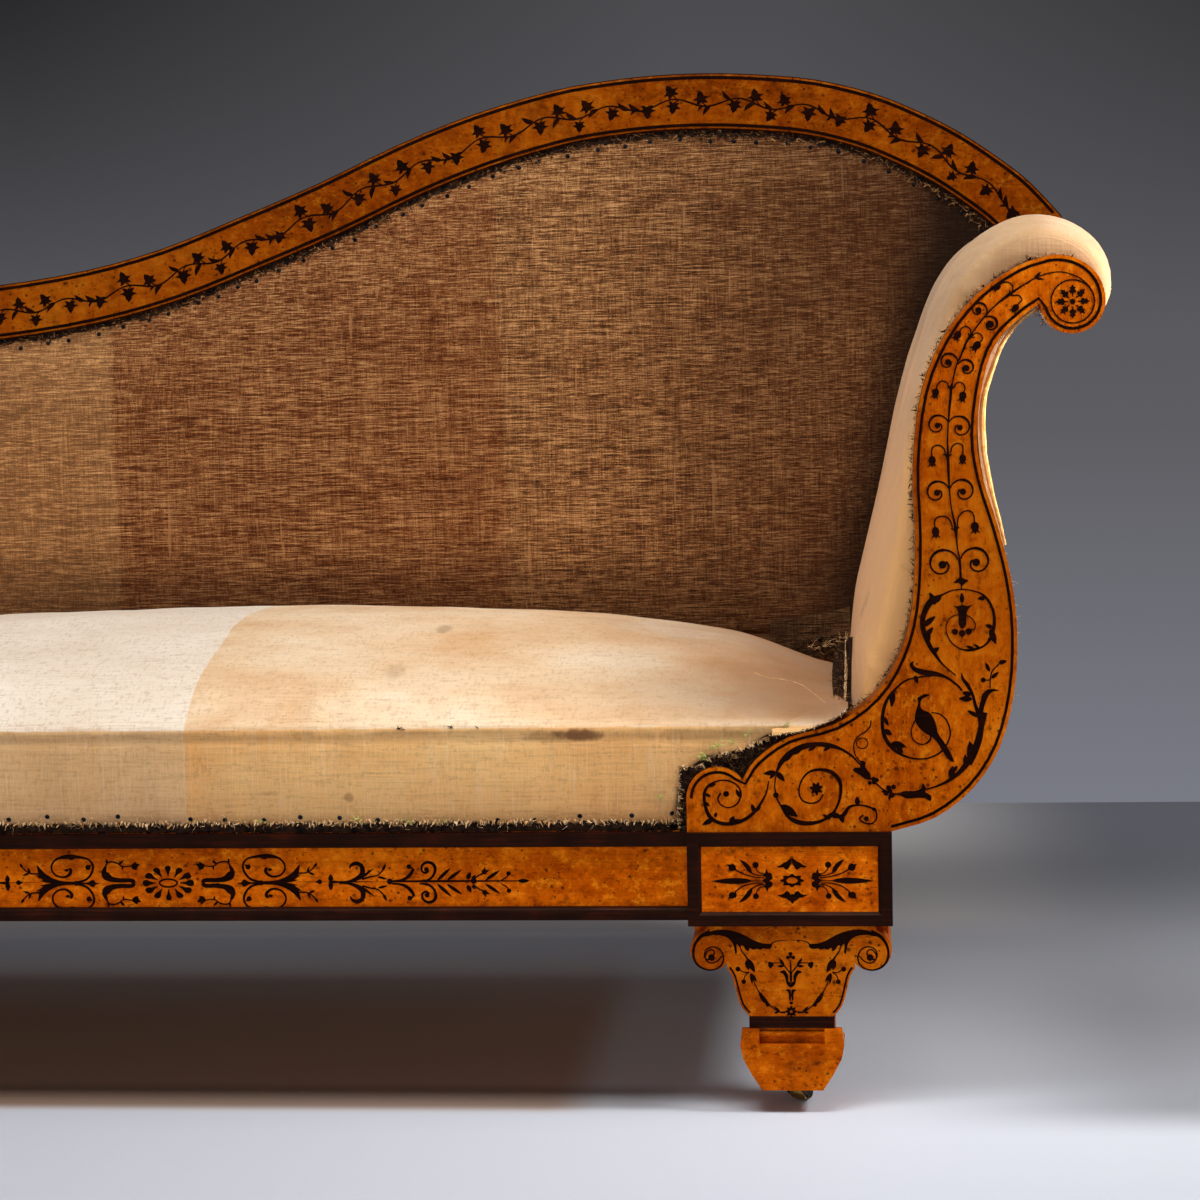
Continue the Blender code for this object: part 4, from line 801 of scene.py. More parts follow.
frieze.moves = (same, mirrored_x, mirrored_z, lambda x, z: mirrored_z(*mirrored_x(x, z)))
near.line([(1060, 277), (1066, 265), (1088, 261), (1130, 262), (1175, 255), (1203, 238), (1213, 215), (1203, 190)],
          [10, 11, 11, 12, 15, 22, 13, 7])
near.line([(1203, 190), (1192, 170), (1168, 165), (1140, 172), (1112, 190), (1070, 187)], [5, 4, 4, 4, 3.5, 3])
near.leaves((1200, 240, 1230, 216, 17), (1196, 174, 1194, 148, 12), (1132, 177, 1107, 158, 13),
            (1115, 186, 1116, 210, 10), (1072, 187, 1022, 180, 22), (1068, 190, 1036, 208, 16),
            (1060, 184, 1040, 166, 14))
near.dots((1046, 188, 14), (1297, 193, 14))
near.line([(1372, 275), (1312, 257), (1279, 222), (1270, 182), (1294, 150), (1345, 138), (1400, 136), (1455, 146),
           (1485, 175), (1488, 208), (1464, 236), (1424, 243), (1396, 228), (1388, 210), (1396, 196)],
          [7, 6, 6, 6, 5, 8, 12, 6, 5, 5, 5, 6, 8, 9, 6])
near.leaves((1297, 193, 1278, 180, 12), (1360, 142, 1396, 152, 12), (1398, 208, 1424, 206, 16))
near.line([(1375, 274), (1440, 272), (1492, 262), (1538, 236), (1566, 182)], [7, 9, 15, 18, 3])
near.leaves((1500, 268, 1575, 232, 16), (1470, 270, 1556, 262, 14))
far = Drawing(frieze, 280, 830, 5.6)
far.line([(95, 242), (150, 238), (183, 216), (203, 190)], [5, 4, 4, 3])
far.leaves((150, 240, 166, 204, 13), (158, 238, 196, 250, 13), (192, 206, 208, 183, 15))
far.line([(330, 291), (382, 289), (430, 272), (460, 246), (458, 206), (428, 187), (398, 198), (390, 216)],
         [5, 7, 12, 15, 12, 12, 8, 3])
far.leaves((455, 245, 462, 186, 20), (462, 225, 474, 206, 12), (440, 280, 526, 214, 15), (546, 262, 602, 275, 14),
           (574, 228, 592, 190, 17), (735, 244, 754, 214, 12), (880, 283, 958, 210, 20), (935, 281, 1018, 222, 20),
           (1048, 276, 1068, 235, 26), (1072, 272, 1098, 252, 14), (1142, 238, 1148, 206, 12),
           (1146, 236, 1172, 224, 12), (1150, 281, 1232, 225, 20))
far.line([(460, 276), (505, 262), (545, 254), (574, 228)], [5, 5, 4, 4])
far.line([(628, 286), (668, 283), (706, 270), (735, 242), (742, 218), (728, 203)], [5, 6, 9, 10, 6, 4])
far.line([(780, 285), (830, 279), (860, 252), (869, 216), (854, 189), (822, 181), (796, 199), (794, 228), (815, 241),
          (833, 227)], [4, 6, 7, 9, 9, 8, 7, 6, 6, 6])
far.line([(1080, 279), (1110, 256), (1140, 240)], 4)
far.line([(1240, 281), (1268, 264), (1280, 248)], 3.5)
far.dots((722, 205, 14), (820, 221, 14), (1144, 234, 15), (1280, 243, 13))
frieze.moves = (same, mirrored_x)
PETALS = 12
PETAL = ((0.0, 0.0), (0.4, 0.10), (0.75, 0.17), (0.95, 0.11), (1.0, 0.0), (0.95, -0.11), (0.75, -0.17), (0.4, -0.10))
for petal in range(PETALS):
    turn = math.tau * petal / PETALS
    full = 0.75 + 0.60 * math.cos(turn) ** 2
    frieze.outline([(AXIS_X + (0.0112 + 0.0130 * t) * math.cos(turn + b * full),
                     AXIS_Z + (0.0056 + 0.0105 * t) * math.sin(turn + b * full)) for t, b in PETAL], 3)
frieze.ribbon([(AXIS_X + 0.0083 * math.cos(a / 24 * math.tau), AXIS_Z + 0.0037 * math.sin(a / 24 * math.tau))
               for a in range(25)], 0.0008, 1)
near.line([(1240, 277), (1420, 277)], [1, 9], 1)
near.shape([(1238, 279), (1262, 273), (1274, 257), (1300, 270), (1335, 277), (1300, 285), (1274, 298), (1262, 283)], 2)
near.dots((1365, 276, 14))
far.line([(100, 289), (600, 289)], [0.5, 0.5], 1)
far.leaves((238, 290, 194, 290, 15), (285, 290, 283, 246, 28), (285, 290, 285, 338, 28), (270, 291, 340, 291, 16))
far.dots((222, 290, 14), (615, 288, 17), (1085, 285, 17))
far.line([(300, 291), (520, 289)], [6, 1], 1)
far.line([(615, 288), (900, 286), (1340, 285)], [5, 6, 3], 3)
far.leaves((1332, 285, 1398, 284, 24),)
frieze.build(INLAY)


def four_sides(centre):
    """The shape itself, its mirror image about the centre, and both again at the foot end."""
    return (same, lambda x, z: (2 * centre - x, z), other_end, lambda x, z: (x - 2 * centre, z))


# The front blocks' palmettes
palmettes = Inlay("block_inlay", BLOCK_PLANE)
block = Drawing(palmettes, 690, 835, 7.467)
BLOCK_CENTRE = block.at(762, 340)
palmettes.moves = four_sides(BLOCK_CENTRE[0])
block.line([(985, 341), (1070, 341), (1150, 334)], [3, 4, 14])
block.leaves((1060, 340, 1368, 342, 46),)
block.line([(955, 288), (990, 286), (1022, 262), (1032, 234)], [4, 4, 4, 5])
block.line([(960, 305), (1010, 300), (1060, 284), (1095, 256)], [4, 4, 5, 9])
block.leaves((1062, 284, 1152, 180, 34, 0.06), (1060, 398, 1166, 504, 34, -0.06), (1180, 262, 1205, 206, 18),
             (1200, 250, 1246, 214, 22), (1190, 420, 1188, 470, 18), (1205, 436, 1246, 478, 20))
block.line([(970, 318), (1040, 312), (1120, 290), (1190, 256)], [4, 4, 5, 5])
block.line([(965, 384), (1000, 390), (1024, 414), (1034, 444)], [4, 4, 4, 5])
block.line([(970, 368), (1020, 374), (1065, 400), (1100, 430)], [4, 4, 6, 9])
block.line([(980, 358), (1050, 360), (1130, 380), (1195, 424)], [4, 4, 5, 5])
block.dots((1032, 222, 24), (1208, 240, 28), (1036, 456, 22), (1214, 448, 26), (930, 300, 20), (930, 372, 20))
block.shape([(985, 340), (960, 318), (978, 296), (962, 282), (952, 252), (938, 282), (914, 300), (908, 326),
             (932, 340), (908, 354), (914, 378), (938, 394), (950, 422), (962, 394), (978, 382), (960, 362)], 3)
block.shape([(762, 172), (784, 186), (800, 198), (822, 206), (846, 226), (874, 234), (850, 244), (826, 240),
             (806, 258), (786, 250), (774, 228), (762, 212)], 2)
block.shape([(762, 516), (778, 496), (796, 486), (816, 470), (840, 466), (876, 448), (848, 446), (826, 436),
             (806, 418), (786, 426), (774, 446), (762, 438)], 2)
palmettes.moves = (same, other_end)
palmettes.flower(BLOCK_CENTRE, 0.0112, 8, 0.30, 0.0050, 0.56, sharp=True)
palmettes.build(INLAY)

# The front legs' volutes, garlands and flowers
leg_inlay = Inlay("leg_inlay", ARM_PLANE)
leg = Drawing(leg_inlay, 690, 920, 7.467)
leg_inlay.moves = four_sides(leg.at(752, 350)[0])
leg.line([(158, 278), (182, 252), (172, 226), (140, 226), (114, 262), (122, 300), (160, 322), (206, 306), (240, 268)],
         [10, 6, 5, 5, 5, 5, 5, 5, 5])
leg.line([(158, 280), (128, 296), (108, 270), (120, 222), (172, 200), (224, 222), (250, 276), (238, 330), (188, 368),
          (120, 370), (56, 334), (26, 270), (34, 190), (80, 124), (150, 92)],
         [8, 6, 5, 5, 5, 5, 6, 6, 6, 7, 8, 9, 10, 13, 20])
leg.dots((160, 280, 26))
leg.shape([(110, 104), (170, 80), (250, 72), (330, 84), (410, 114), (480, 152), (545, 176), (600, 178), (612, 196),
           (590, 216), (545, 212), (525, 222), (500, 214), (470, 222), (445, 206), (440, 232), (415, 222), (400, 196),
           (380, 190), (378, 214), (350, 176), (348, 214), (352, 236), (340, 256), (332, 220), (318, 172), (280, 132),
           (230, 116), (170, 112), (120, 124)], 2)
leg.line([(602, 190), (622, 166), (670, 154), (735, 150)], [6, 4, 3, 1])
leg.line([(370, 196), (390, 236), (416, 272), (432, 296)], [4, 5, 6, 8])
leg.leaves((430, 290, 486, 392, 44), (420, 300, 440, 376, 34), (440, 330, 414, 352, 20), (452, 396, 500, 462, 26),
           (452, 396, 466, 482, 20), (672, 688, 628, 644, 20), (660, 690, 626, 692, 16))
leg.line([(444, 388), (410, 392), (372, 374)], 4)
leg.line([(444, 388), (414, 412), (402, 448)], 4)
leg.dots((358, 366, 19), (401, 460, 18), (527, 556, 14), (580, 632, 15))
leg.line([(462, 404), (484, 476), (514, 534), (548, 590), (600, 640), (660, 684), (712, 690)], [5, 4, 5, 18, 5, 5, 8])
leg.line([(752, 400), (712, 352), (676, 322), (620, 320)], [5, 5, 4, 4])
leg.leaves((706, 344, 664, 282, 22), (700, 345, 652, 344, 20), (752, 396, 752, 300, 14))
leg.dots((603, 333, 21), (592, 320, 10), (600, 352, 10), (730, 280, 14), (752, 252, 14), (752, 275, 10))
leg.shape([(752, 504), (722, 478), (712, 436), (694, 402), (668, 390), (700, 374), (722, 392), (736, 424),
           (734, 456), (752, 470)], 3)
leg.leaves((752, 470, 752, 352, 18),)
leg.shape([(752, 604), (738, 590), (738, 556), (728, 532), (710, 524), (752, 520)], 2)
leg.dots((752, 620, 10))
leg_inlay.moves = (same, other_end)
leg_inlay.flower(leg.at(756, 683), 0.0054, 8, 0.32, 0.0012)
leg_inlay.build(INLAY)

# The arms: climbing stem with volutes and bell flowers, scrolls with a tulip, a bird and a flower
STEM_LOW, STEM_HIGH, STEM_FALL = 0.4237, 0.69, 0.075


def foot_end(x, z):
    """The head end's pattern on the lower foot end, whose stem is shorter by STEM_FALL."""
    return (-x, z - STEM_FALL * min(max((z - STEM_LOW) / (STEM_HIGH - STEM_LOW), 0), 1))


arms = Inlay("arm_inlay", ARM_PLANE, (same, foot_end))
top = Drawing(arms, 950, 200, 9.2235)
top.line([(85, 1476), (150, 1312), (200, 1232), (322, 1072), (420, 972), (535, 880), (690, 776), (822, 704),
          (960, 666), (1060, 668), (1180, 708), (1268, 782), (1320, 862), (1332, 940)],
         [7, 11, 6, 8, 7, 13, 6, 6, 5, 5, 5, 8, 7, 5])
EYE = (1132, 935)
turns = [math.radians(a) for a in range(0, 361, 10)]
top.line([(EYE[0] + 200 * math.cos(a), EYE[1] + 200 * math.sin(a)) for a in turns], 6.5, 1)
top.leaves((780, 722, 842, 662, 26), (790, 722, 870, 732, 24), (700, 778, 770, 722, 16))
top.cup(545, 872, (690, 776), 60)
top.cup(180, 1270, (260, 1150), 60)
top.bell([(574, 846), (578, 792), (534, 757), (484, 766), (462, 782)], 80, 6)
top.bell([(580, 880), (634, 880), (664, 918), (640, 948), (626, 966)], 84, 6)
top.bell([(192, 1240), (186, 1192), (150, 1166), (108, 1182), (90, 1212)], 92, 6)
top.bell([(206, 1250), (244, 1226), (290, 1246), (298, 1286), (276, 1310)], 100, 6)
top.volute((326, 1066), (262, 1016), 1, 12, 28)
top.volute((330, 1082), (370, 1146), -1, 14, 34)
LOBES = 8
LOBE = [(44, -5), (70, -6), (80, -27), (98, -32), (106, -17), (126, -28), (132, -11), (154, 0)]
for lobe in range(LOBES):
    turn = math.radians(360 / LOBES * lobe)
    top.shaped(EYE, (math.cos(turn) * top.pixel, math.sin(turn) * top.pixel), LOBE[:-1], LOBE[-1:])
top.dots((*EYE, 25))
upper = Drawing(arms, 880, 180, 6.03)
upper.line([(414, 1450), (426, 1300), (434, 1240), (452, 1150), (472, 1090), (512, 1010)], [4, 8, 4, 5, 4, 5])
upper.cup(428, 1262, (438, 1200), 40)
upper.volute((468, 1108), (410, 1098), 1, 8, 18)
upper.volute((470, 1112), (520, 1134), -1, 8, 20)
upper.bell([(414, 1256), (404, 1222), (372, 1212), (346, 1236), (341, 1258)], 60)
upper.bell([(444, 1252), (466, 1222), (498, 1226), (512, 1254), (506, 1276)], 64)
stem = Drawing(arms, 900, 400, 8.71)
stem.line([(430, 0), (420, 200), (415, 380), (420, 560), (430, 780), (450, 950), (480, 1100), (500, 1280), (520, 1400),
           (530, 1568)], [5, 6, 7, 12, 7, 6, 12, 6, 8, 12])
stem.cup(416, 500, (418, 400), 62)
stem.cup(486, 1140, (468, 1040), 62)
for start, eye, way, thick, blob in (
    ((418, 190), (326, 222), 1, 11, 24), ((428, 190), (522, 240), -1, 11, 24), ((424, 770), (322, 808), 1, 12, 27),
    ((436, 770), (548, 798), -1, 12, 27), ((505, 1392), (370, 1434), 1, 14, 34), ((528, 1385), (664, 1414), -1, 14, 34),
):
    stem.volute(start, eye, way, thick, blob)
stem.bell([(396, 470), (380, 420), (340, 394), (292, 406), (276, 440), (278, 488)], 92, 6)
stem.bell([(440, 462), (456, 404), (500, 378), (540, 392), (548, 430), (547, 474)], 86, 6)
stem.bell([(458, 1110), (430, 1040), (382, 1012), (324, 1024), (302, 1060), (306, 1106)], 96, 6)
stem.bell([(500, 1110), (506, 1030), (548, 976), (610, 966), (642, 1004), (648, 1062)], 100, 6)
scroll = Drawing(arms, 860, 560, 7.84)
scroll.line([(780, 0), (790, 100), (796, 228)], [12, 7, 5])
scroll.shape([(732, 182), (762, 150), (790, 134), (822, 150), (852, 160), (824, 182), (798, 204), (772, 178)], 2)
scroll.line([(750, 905), (650, 820), (590, 740), (540, 660), (500, 560), (490, 480), (510, 400), (560, 320), (640, 275),
             (720, 240), (800, 230), (880, 240), (960, 270), (1020, 340), (1050, 430), (1050, 520), (1020, 620),
             (960, 680), (870, 705), (800, 700), (730, 660), (685, 590), (675, 520), (700, 460), (760, 430), (820, 430),
             (880, 460), (905, 510), (890, 560)],
            [5, 7, 14, 18, 20, 20, 22, 24, 8, 5, 5, 5, 8, 11, 12, 14, 10, 7, 11, 6, 5, 5, 4, 4, 4, 4, 4, 4, 3])
scroll.leaves(
    (590, 350, 546, 252, 46), (575, 330, 640, 290, 40), (495, 520, 592, 440, 44), (515, 600, 575, 525, 40),
    (520, 650, 552, 588, 34), (560, 730, 622, 684, 40), (985, 296, 922, 304, 34), (1042, 530, 982, 508, 34),
    (1020, 540, 1066, 660, 52), (1030, 600, 1000, 650, 26), (900, 702, 832, 672, 26), (940, 690, 890, 660, 20))
scroll.shape([(733, 356), (765, 364), (800, 350), (842, 362), (888, 348), (856, 374), (840, 404), (834, 444),
              (834, 502), (818, 530), (802, 538), (784, 526), (772, 492), (772, 432), (766, 396), (750, 372)], 2)
scroll.dots((745, 562, 24), (800, 574, 26), (852, 560, 26))
scroll.leaves((750, 560, 714, 550, 16), (850, 556, 890, 540, 16), (800, 570, 800, 616, 16), (800, 338, 798, 256, 36),
              (800, 360, 800, 320, 8))
scroll.line([(800, 1025), (760, 980), (680, 922), (600, 894), (500, 880), (430, 856), (404, 818), (420, 794)],
            [8, 9, 10, 18, 22, 18, 13, 4])
scroll.line([(620, 908), (560, 908), (450, 920), (350, 950), (270, 1020), (210, 1100), (180, 1200), (175, 1300),
             (200, 1400), (270, 1490), (360, 1540), (460, 1560), (560, 1545), (650, 1490), (700, 1400), (705, 1330),
             (680, 1260), (630, 1210), (560, 1195)], [5, 5, 6, 7, 9, 12, 13, 14, 16, 13, 8, 6, 6, 7, 6, 6, 6, 5, 4])
scroll.leaves((430, 905, 452, 970, 36), (262, 1030, 246, 1156, 44), (185, 1230, 224, 1300, 32),
              (190, 1330, 250, 1372, 44), (240, 1440, 360, 1462, 60), (290, 1470, 340, 1512, 40))
scroll.line([(432, 1258), (402, 1330), (412, 1400), (460, 1440), (512, 1440), (550, 1402), (548, 1372)], 5)
scroll.shape([(545, 1058), (516, 1074), (496, 1084), (480, 1100), (474, 1150), (500, 1178), (548, 1200), (582, 1250),
              (602, 1310), (614, 1362), (662, 1430), (704, 1500), (738, 1580), (690, 1560), (640, 1486), (598, 1420),
              (556, 1382), (500, 1350), (452, 1300), (428, 1240), (440, 1180), (456, 1120), (450, 1084), (480, 1064),
              (506, 1050)], 3)
scroll.line([(556, 1380), (552, 1412), (524, 1440)], 5)
scroll.line([(852, 1600), (896, 1520), (934, 1420), (950, 1330), (946, 1240), (918, 1176)], [24, 22, 20, 20, 24, 10])
scroll.line([(926, 1200), (902, 1130), (884, 1060), (846, 985), (806, 930), (796, 884)], [16, 13, 12, 15, 12, 2])
scroll.line([(944, 1200), (962, 1120), (996, 1044), (1038, 1022), (1088, 1022)], [18, 20, 20, 12, 2])
scroll.leaves((880, 1090, 774, 1086, 44), (870, 1060, 800, 1036, 40), (930, 1230, 840, 1178, 34),
              (960, 1100, 974, 1036, 30), (888, 1530, 858, 1420, 50), (886, 1520, 900, 1440, 30),
              (1086, 808, 1152, 790, 36), (1016, 874, 982, 800, 30), (1030, 928, 1088, 876, 30))
scroll.line([(1020, 1004), (1022, 930), (1038, 870), (1090, 814)], 5)
scroll.line([(1022, 940), (975, 942)], 4, 2)
scroll.dots((966, 940, 20),)
low = Drawing(arms, 700, 700, 4.9)
low.line([(1393, 60), (1378, 130), (1352, 220), (1320, 290), (1280, 345), (1222, 392), (1166, 420), (1108, 438)],
         [16, 14, 13, 16, 12, 8, 5, 4])
low.leaves((1322, 296, 1322, 198, 30), (1300, 320, 1300, 264, 22), (1230, 388, 1238, 322, 34),
           (1240, 350, 1262, 322, 20))
low.shape([(978, 462), (1000, 446), (1050, 446), (1084, 432), (1090, 406), (1108, 430), (1104, 452), (1132, 468),
           (1130, 497), (1104, 480), (1060, 480), (1010, 482)], 2)
low.line([(985, 462), (945, 458), (900, 440), (862, 408), (828, 378)], 4)
low.dots((924, 430, 13), (948, 426, 12), (912, 456, 13), (940, 466, 14), (930, 446, 12), (832, 406, 10), (850, 388, 12),
         (866, 392, 11), (852, 404, 10), (372, 466, 14), (815, 581, 12), (128, 460, 15))
low.leaves((930, 460, 928, 496, 14), (910, 450, 888, 448, 12))
low.shape([(836, 390), (810, 386), (778, 364), (750, 346), (760, 330), (784, 330), (788, 298), (812, 304),
           (810, 330), (834, 360)], 2)
low.line([(788, 304), (761, 270), (754, 216), (778, 176), (815, 152), (834, 126), (838, 100)], 3)
low.line([(795 + 28 * math.cos(a / 6 * math.pi), 212 + 26 * math.sin(a / 6 * math.pi)) for a in range(13)], 2.6, 2)
low.line([(786, 318), (745, 275), (690, 240), (630, 222), (570, 217), (510, 227), (450, 256), (402, 300), (375, 352)],
         [4, 5, 7, 12, 11, 14, 15, 12, 5])
low.leaves((640, 224, 604, 250, 18), (570, 222, 530, 250, 18), (500, 232, 462, 268, 20), (450, 262, 420, 300, 20),
           (372, 352, 310, 362, 24), (372, 352, 416, 398, 28), (372, 352, 340, 386, 18), (395, 515, 480, 572, 42),
           (620, 580, 668, 545, 24), (660, 556, 690, 576, 20), (772, 516, 770, 472, 26), (690, 565, 702, 602, 26),
           (640, 585, 600, 560, 18), (840, 530, 868, 540, 16), (68, 582, 10, 612, 26), (74, 575, 80, 548, 16),
           (268, 552, 252, 508, 22), (268, 548, 300, 522, 16), (150, 604, 166, 568, 26), (140, 600, 200, 586, 18),
           (22, 500, 48, 520, 16), (26, 460, 54, 474, 16), (40, 424, 80, 410, 16), (196, 476, 176, 436, 20))
low.line([(372, 368), (366, 420), (372, 460), (380, 490), (398, 520), (430, 570), (480, 598), (540, 604), (600, 590),
          (650, 555), (680, 500), (690, 440), (680, 390), (640, 352), (580, 341), (530, 356), (495, 400), (485, 450),
          (500, 490), (540, 506), (580, 496), (604, 462)],
         [3, 3, 4, 4, 5, 8, 12, 10, 7, 6, 6, 8, 10, 10, 7, 5, 4, 4, 4, 4, 4, 3])
arms.flower(low.at(570, 434), 0.0064, 7, 0.42, 0, 1, 0.3, sharp=True)
low.line([(650, 572), (700, 566), (732, 524), (782, 515), (832, 526), (862, 546), (864, 582), (838, 606), (800, 600),
          (781, 580), (800, 564)], [7, 10, 7, 4, 5, 4, 4, 4, 4, 4, 4])
low.line([(337, 396), (326, 450), (302, 500), (265, 550), (220, 585), (160, 605), (100, 603), (50, 574), (26, 520),
          (21, 460), (42, 420), (90, 396), (140, 396), (186, 422), (200, 465), (180, 510), (140, 527), (104, 515),
          (88, 484), (102, 455)], [3, 4, 6, 8, 9, 9, 9, 10, 8, 8, 6, 4, 4, 4, 5, 4, 3, 3, 4, 5])
arms.build(INLAY)


# Stringing: dark lines along the edges of the arms, legs and crest
def strung(inlay, ring, inset, half, keep):
    """A line inside a closed outline, broken where keep says no."""
    moved, good = inside_path(ring, inset)
    good = [g and keep(p) for g, p in zip(good, moved)]
    if all(good):
        inlay.ribbon(moved + [moved[0]], half, 1)
        return
    first = next(i for i in range(len(good)) if good[i] and not good[i - 1])
    order = [(first + i) % len(good) for i in range(len(good))]
    run = []
    for i in order + [None]:
        if i is not None and good[i]:
            if not run or math.dist(run[-1], moved[i]) > 0.0004:
                run.append(moved[i])
            continue
        if len(run) > 2:
            inlay.ribbon(run, half, 1)
        if i is None or not keep(moved[i]) or (run and math.dist(run[-1], moved[i]) > 0.02):
            run = []


strings = Inlay("stringing", ARM_PLANE)
for side in ("left", "right"):
    strung(strings, face_loop(f"arm_front_board_{side}", ARM_PLANE), 0.0044, 0.0013,
           lambda p: p[1] > ARM_BASE + 0.0035)
    strung(strings, face_loop(f"leg_volute_front_{side}", ARM_PLANE), 0.0026, 0.0009,
           lambda p: 0.0925 < p[1] < 0.1445 and abs(abs(p[0]) - LEG_X) < 0.056)
strings.build(INLAY)


class Track:
    """A line of (X, Z) points that is followed by its length."""

    def __init__(self, points):
        self.points, self.sides, self.lengths = points, side_steps(points), [0.0]
        for a, b in zip(points, points[1:]):
            self.lengths.append(self.lengths[-1] + math.dist(a, b))

    def at(self, along, rise):
        """The point this far along the line and this far to its left."""
        i = min(max(int(np.searchsorted(self.lengths, along)) - 1, 0), len(self.points) - 2)
        t = (along - self.lengths[i]) / (self.lengths[i + 1] - self.lengths[i])
        a, b, n = self.points[i], self.points[i + 1], self.sides[i]
        return (a[0] + (b[0] - a[0]) * t + n[0] * rise, a[1] + (b[1] - a[1]) * t + n[1] * rise)


# The crest's vine and lines
ring = face_loop("crest_rail", CREST_PLANE)
lower = sorted(p for p, q in zip(ring, ring[1:] + ring[:1]) if q[0] - p[0] > 0.002 and -0.80 < p[0] < 0.832)
EDGE_TO_LINE = 0.0275
middle = [(p[0] + n[0] * EDGE_TO_LINE, p[1] + n[1] * EDGE_TO_LINE) for p, n in zip(lower, side_steps(lower))]
crest = Track(smooth_path(middle, 3))


def ivy(inlay, along, rise, turn, size):
    """An ivy leaf on the crest, its stalk at that place, pointing at turn from the crest's own direction."""
    half = [(0.0, 0.04), (-0.10, 0.22), (-0.12, 0.52), (0.08, 0.38), (0.20, 0.36), (0.34, 0.72), (0.42, 0.42),
            (0.54, 0.26), (0.70, 0.26), (1.0, 0.0)]
    shape = half + [(a, -b) for a, b in reversed(half[:-1])]
    inlay.outline([crest.at(along + (a * math.cos(turn) - b * math.sin(turn)) * size,
                            rise + (a * math.sin(turn) + b * math.cos(turn)) * size) for a, b in shape])


vine = Inlay("crest_inlay", CREST_PLANE)
strung(vine, ring, 0.0020, 0.0017, lambda p: -0.84 < p[0] < 0.8562)
PERIOD = 0.2165
WAVE = PERIOD / 3


def stem_rise(along):
    turn = 2 * math.pi * (along - first_pair) / WAVE
    return 0.0046 * math.cos(turn) - 0.0016 + 0.0008 * math.sin(turn * 0.37)


# One length of the vine, from one pair of leaves to the next: how far along, which side, and an ivy leaf or a plain one
VINE = ((0, 1, "ivy"), (0.002, -1, "ivy"), (0.026, -1, "small"), (0.030, 1, "ivy"), (0.036, -1, "plain"),
        (0.058, 1, "plain"), (0.067, -1, "ivy"), (0.084, -1, "plain"), (0.091, 1, "ivy"), (0.104, 1, "plain"),
        (0.109, -1, "ivy"), (0.124, 1, "ivy"), (0.128, -1, "plain"), (0.150, -1, "ivy"), (0.163, 1, "plain"),
        (0.170, -1, "small"), (0.175, 1, "plain"), (0.186, 0, "ivy"))
pair = seen(673, 110, CREST_PLANE)
first_pair = crest.lengths[min(range(len(crest.points)), key=lambda i: math.dist(crest.points[i], pair))]
end = crest.lengths[-1] - 0.008
stations = np.arange(0.008, end, 0.003)
vine.ribbon([crest.at(s, stem_rise(s)) for s in stations],
            [0.00068 + 0.0003 * abs(math.cos(math.pi * s / WAVE)) for s in stations], 1)
for turn in range(-8, 3):
    for offset, side, kind in VINE:
        place = first_pair + turn * PERIOD + offset + RNG.uniform(-0.0015, 0.0015)
        if not 0.02 < place < end - 0.006:
            continue
        root = place + 0.005
        if kind == "ivy":
            out = side or -1
            tip = (place, stem_rise(place) + (out * RNG.uniform(0.0036, 0.0048) if side else 0.003))
            vine.ribbon([crest.at(root, stem_rise(root)), crest.at(*tip)], 0.0006, 1)
            size = min(RNG.uniform(0.0122, 0.0140), 0.0215 - abs(tip[1]))
            ivy(vine, *tip, out * math.radians(90 + RNG.uniform(0, 34)), size)
        else:
            length = RNG.uniform(0.0125, 0.0155) if kind == "plain" else 0.0075
            lean = math.radians(RNG.uniform(128, 150))
            vine.leaf(crest.at(root, stem_rise(root)),
                      crest.at(root + length * math.cos(lean), stem_rise(root) + side * length * math.sin(lean)),
                      length * 0.34, side * 0.12)
vine.build(INLAY)


# Upholstery


class Surface:
    """What shows of some pieces, to find a place on them by a pixel or by a straight line."""

    def __init__(self, *objects):
        points, faces = [], []
        for obj in objects:
            base = len(points)
            points += [v.co.copy() for v in obj.data.vertices]
            faces += [[base + i for i in polygon.vertices] for polygon in obj.data.polygons]
        self.tree = BVHTree.FromPolygons(points, faces)

    def under(self, px, py):
        """Place and normal of what shows at a pixel of the photograph, or else at one on its left or below it."""
        ray = ray_of(px, py)
        for step in range(14):
            for way in ((0, 0), (-2, 0), (0, 3), (-2, 3)):
                tried = ray + RIGHT * way[0] * step + BELOW * way[1] * step
                place, normal, _, _ = self.tree.ray_cast(CAMERA_PLACE, tried.normalized())
                if place:
                    far = (place - CAMERA_PLACE).dot(FORWARD) / REACH
                    return CAMERA_PLACE + ray * far, normal
        raise ValueError("nothing shows near this pixel")

    def before(self, px, py, lift):
        """The place this far in front of what shows at a pixel, towards the camera."""
        place, _ = self.under(px, py)
        return place - (place - CAMERA_PLACE).normalized() * lift

    def front(self, x, z):
        place, normal, _, _ = self.tree.ray_cast(Vector((x, -1, z)), Vector((0, 1, 0)))
        return place, normal

    def depth(self, x, z, missing):
        """The Y of what shows from the front at (X, Z), or the missing one where nothing does."""
        place, _ = self.front(x, z)
        return place.y if place else missing


def evaluated(obj):
    bpy.context.view_layer.update()
    graph = bpy.context.evaluated_depsgraph_get()
    return bpy.data.meshes.new_from_object(obj.evaluated_get(graph))


def take(obj, mesh, name):
    """Puts a finished mesh into the object in place of its own mesh and modifiers."""
    obj.modifiers.clear()
    obj.data = mesh
    mesh.name = name
    mesh.polygons.foreach_set("use_smooth", [True] * len(mesh.polygons))


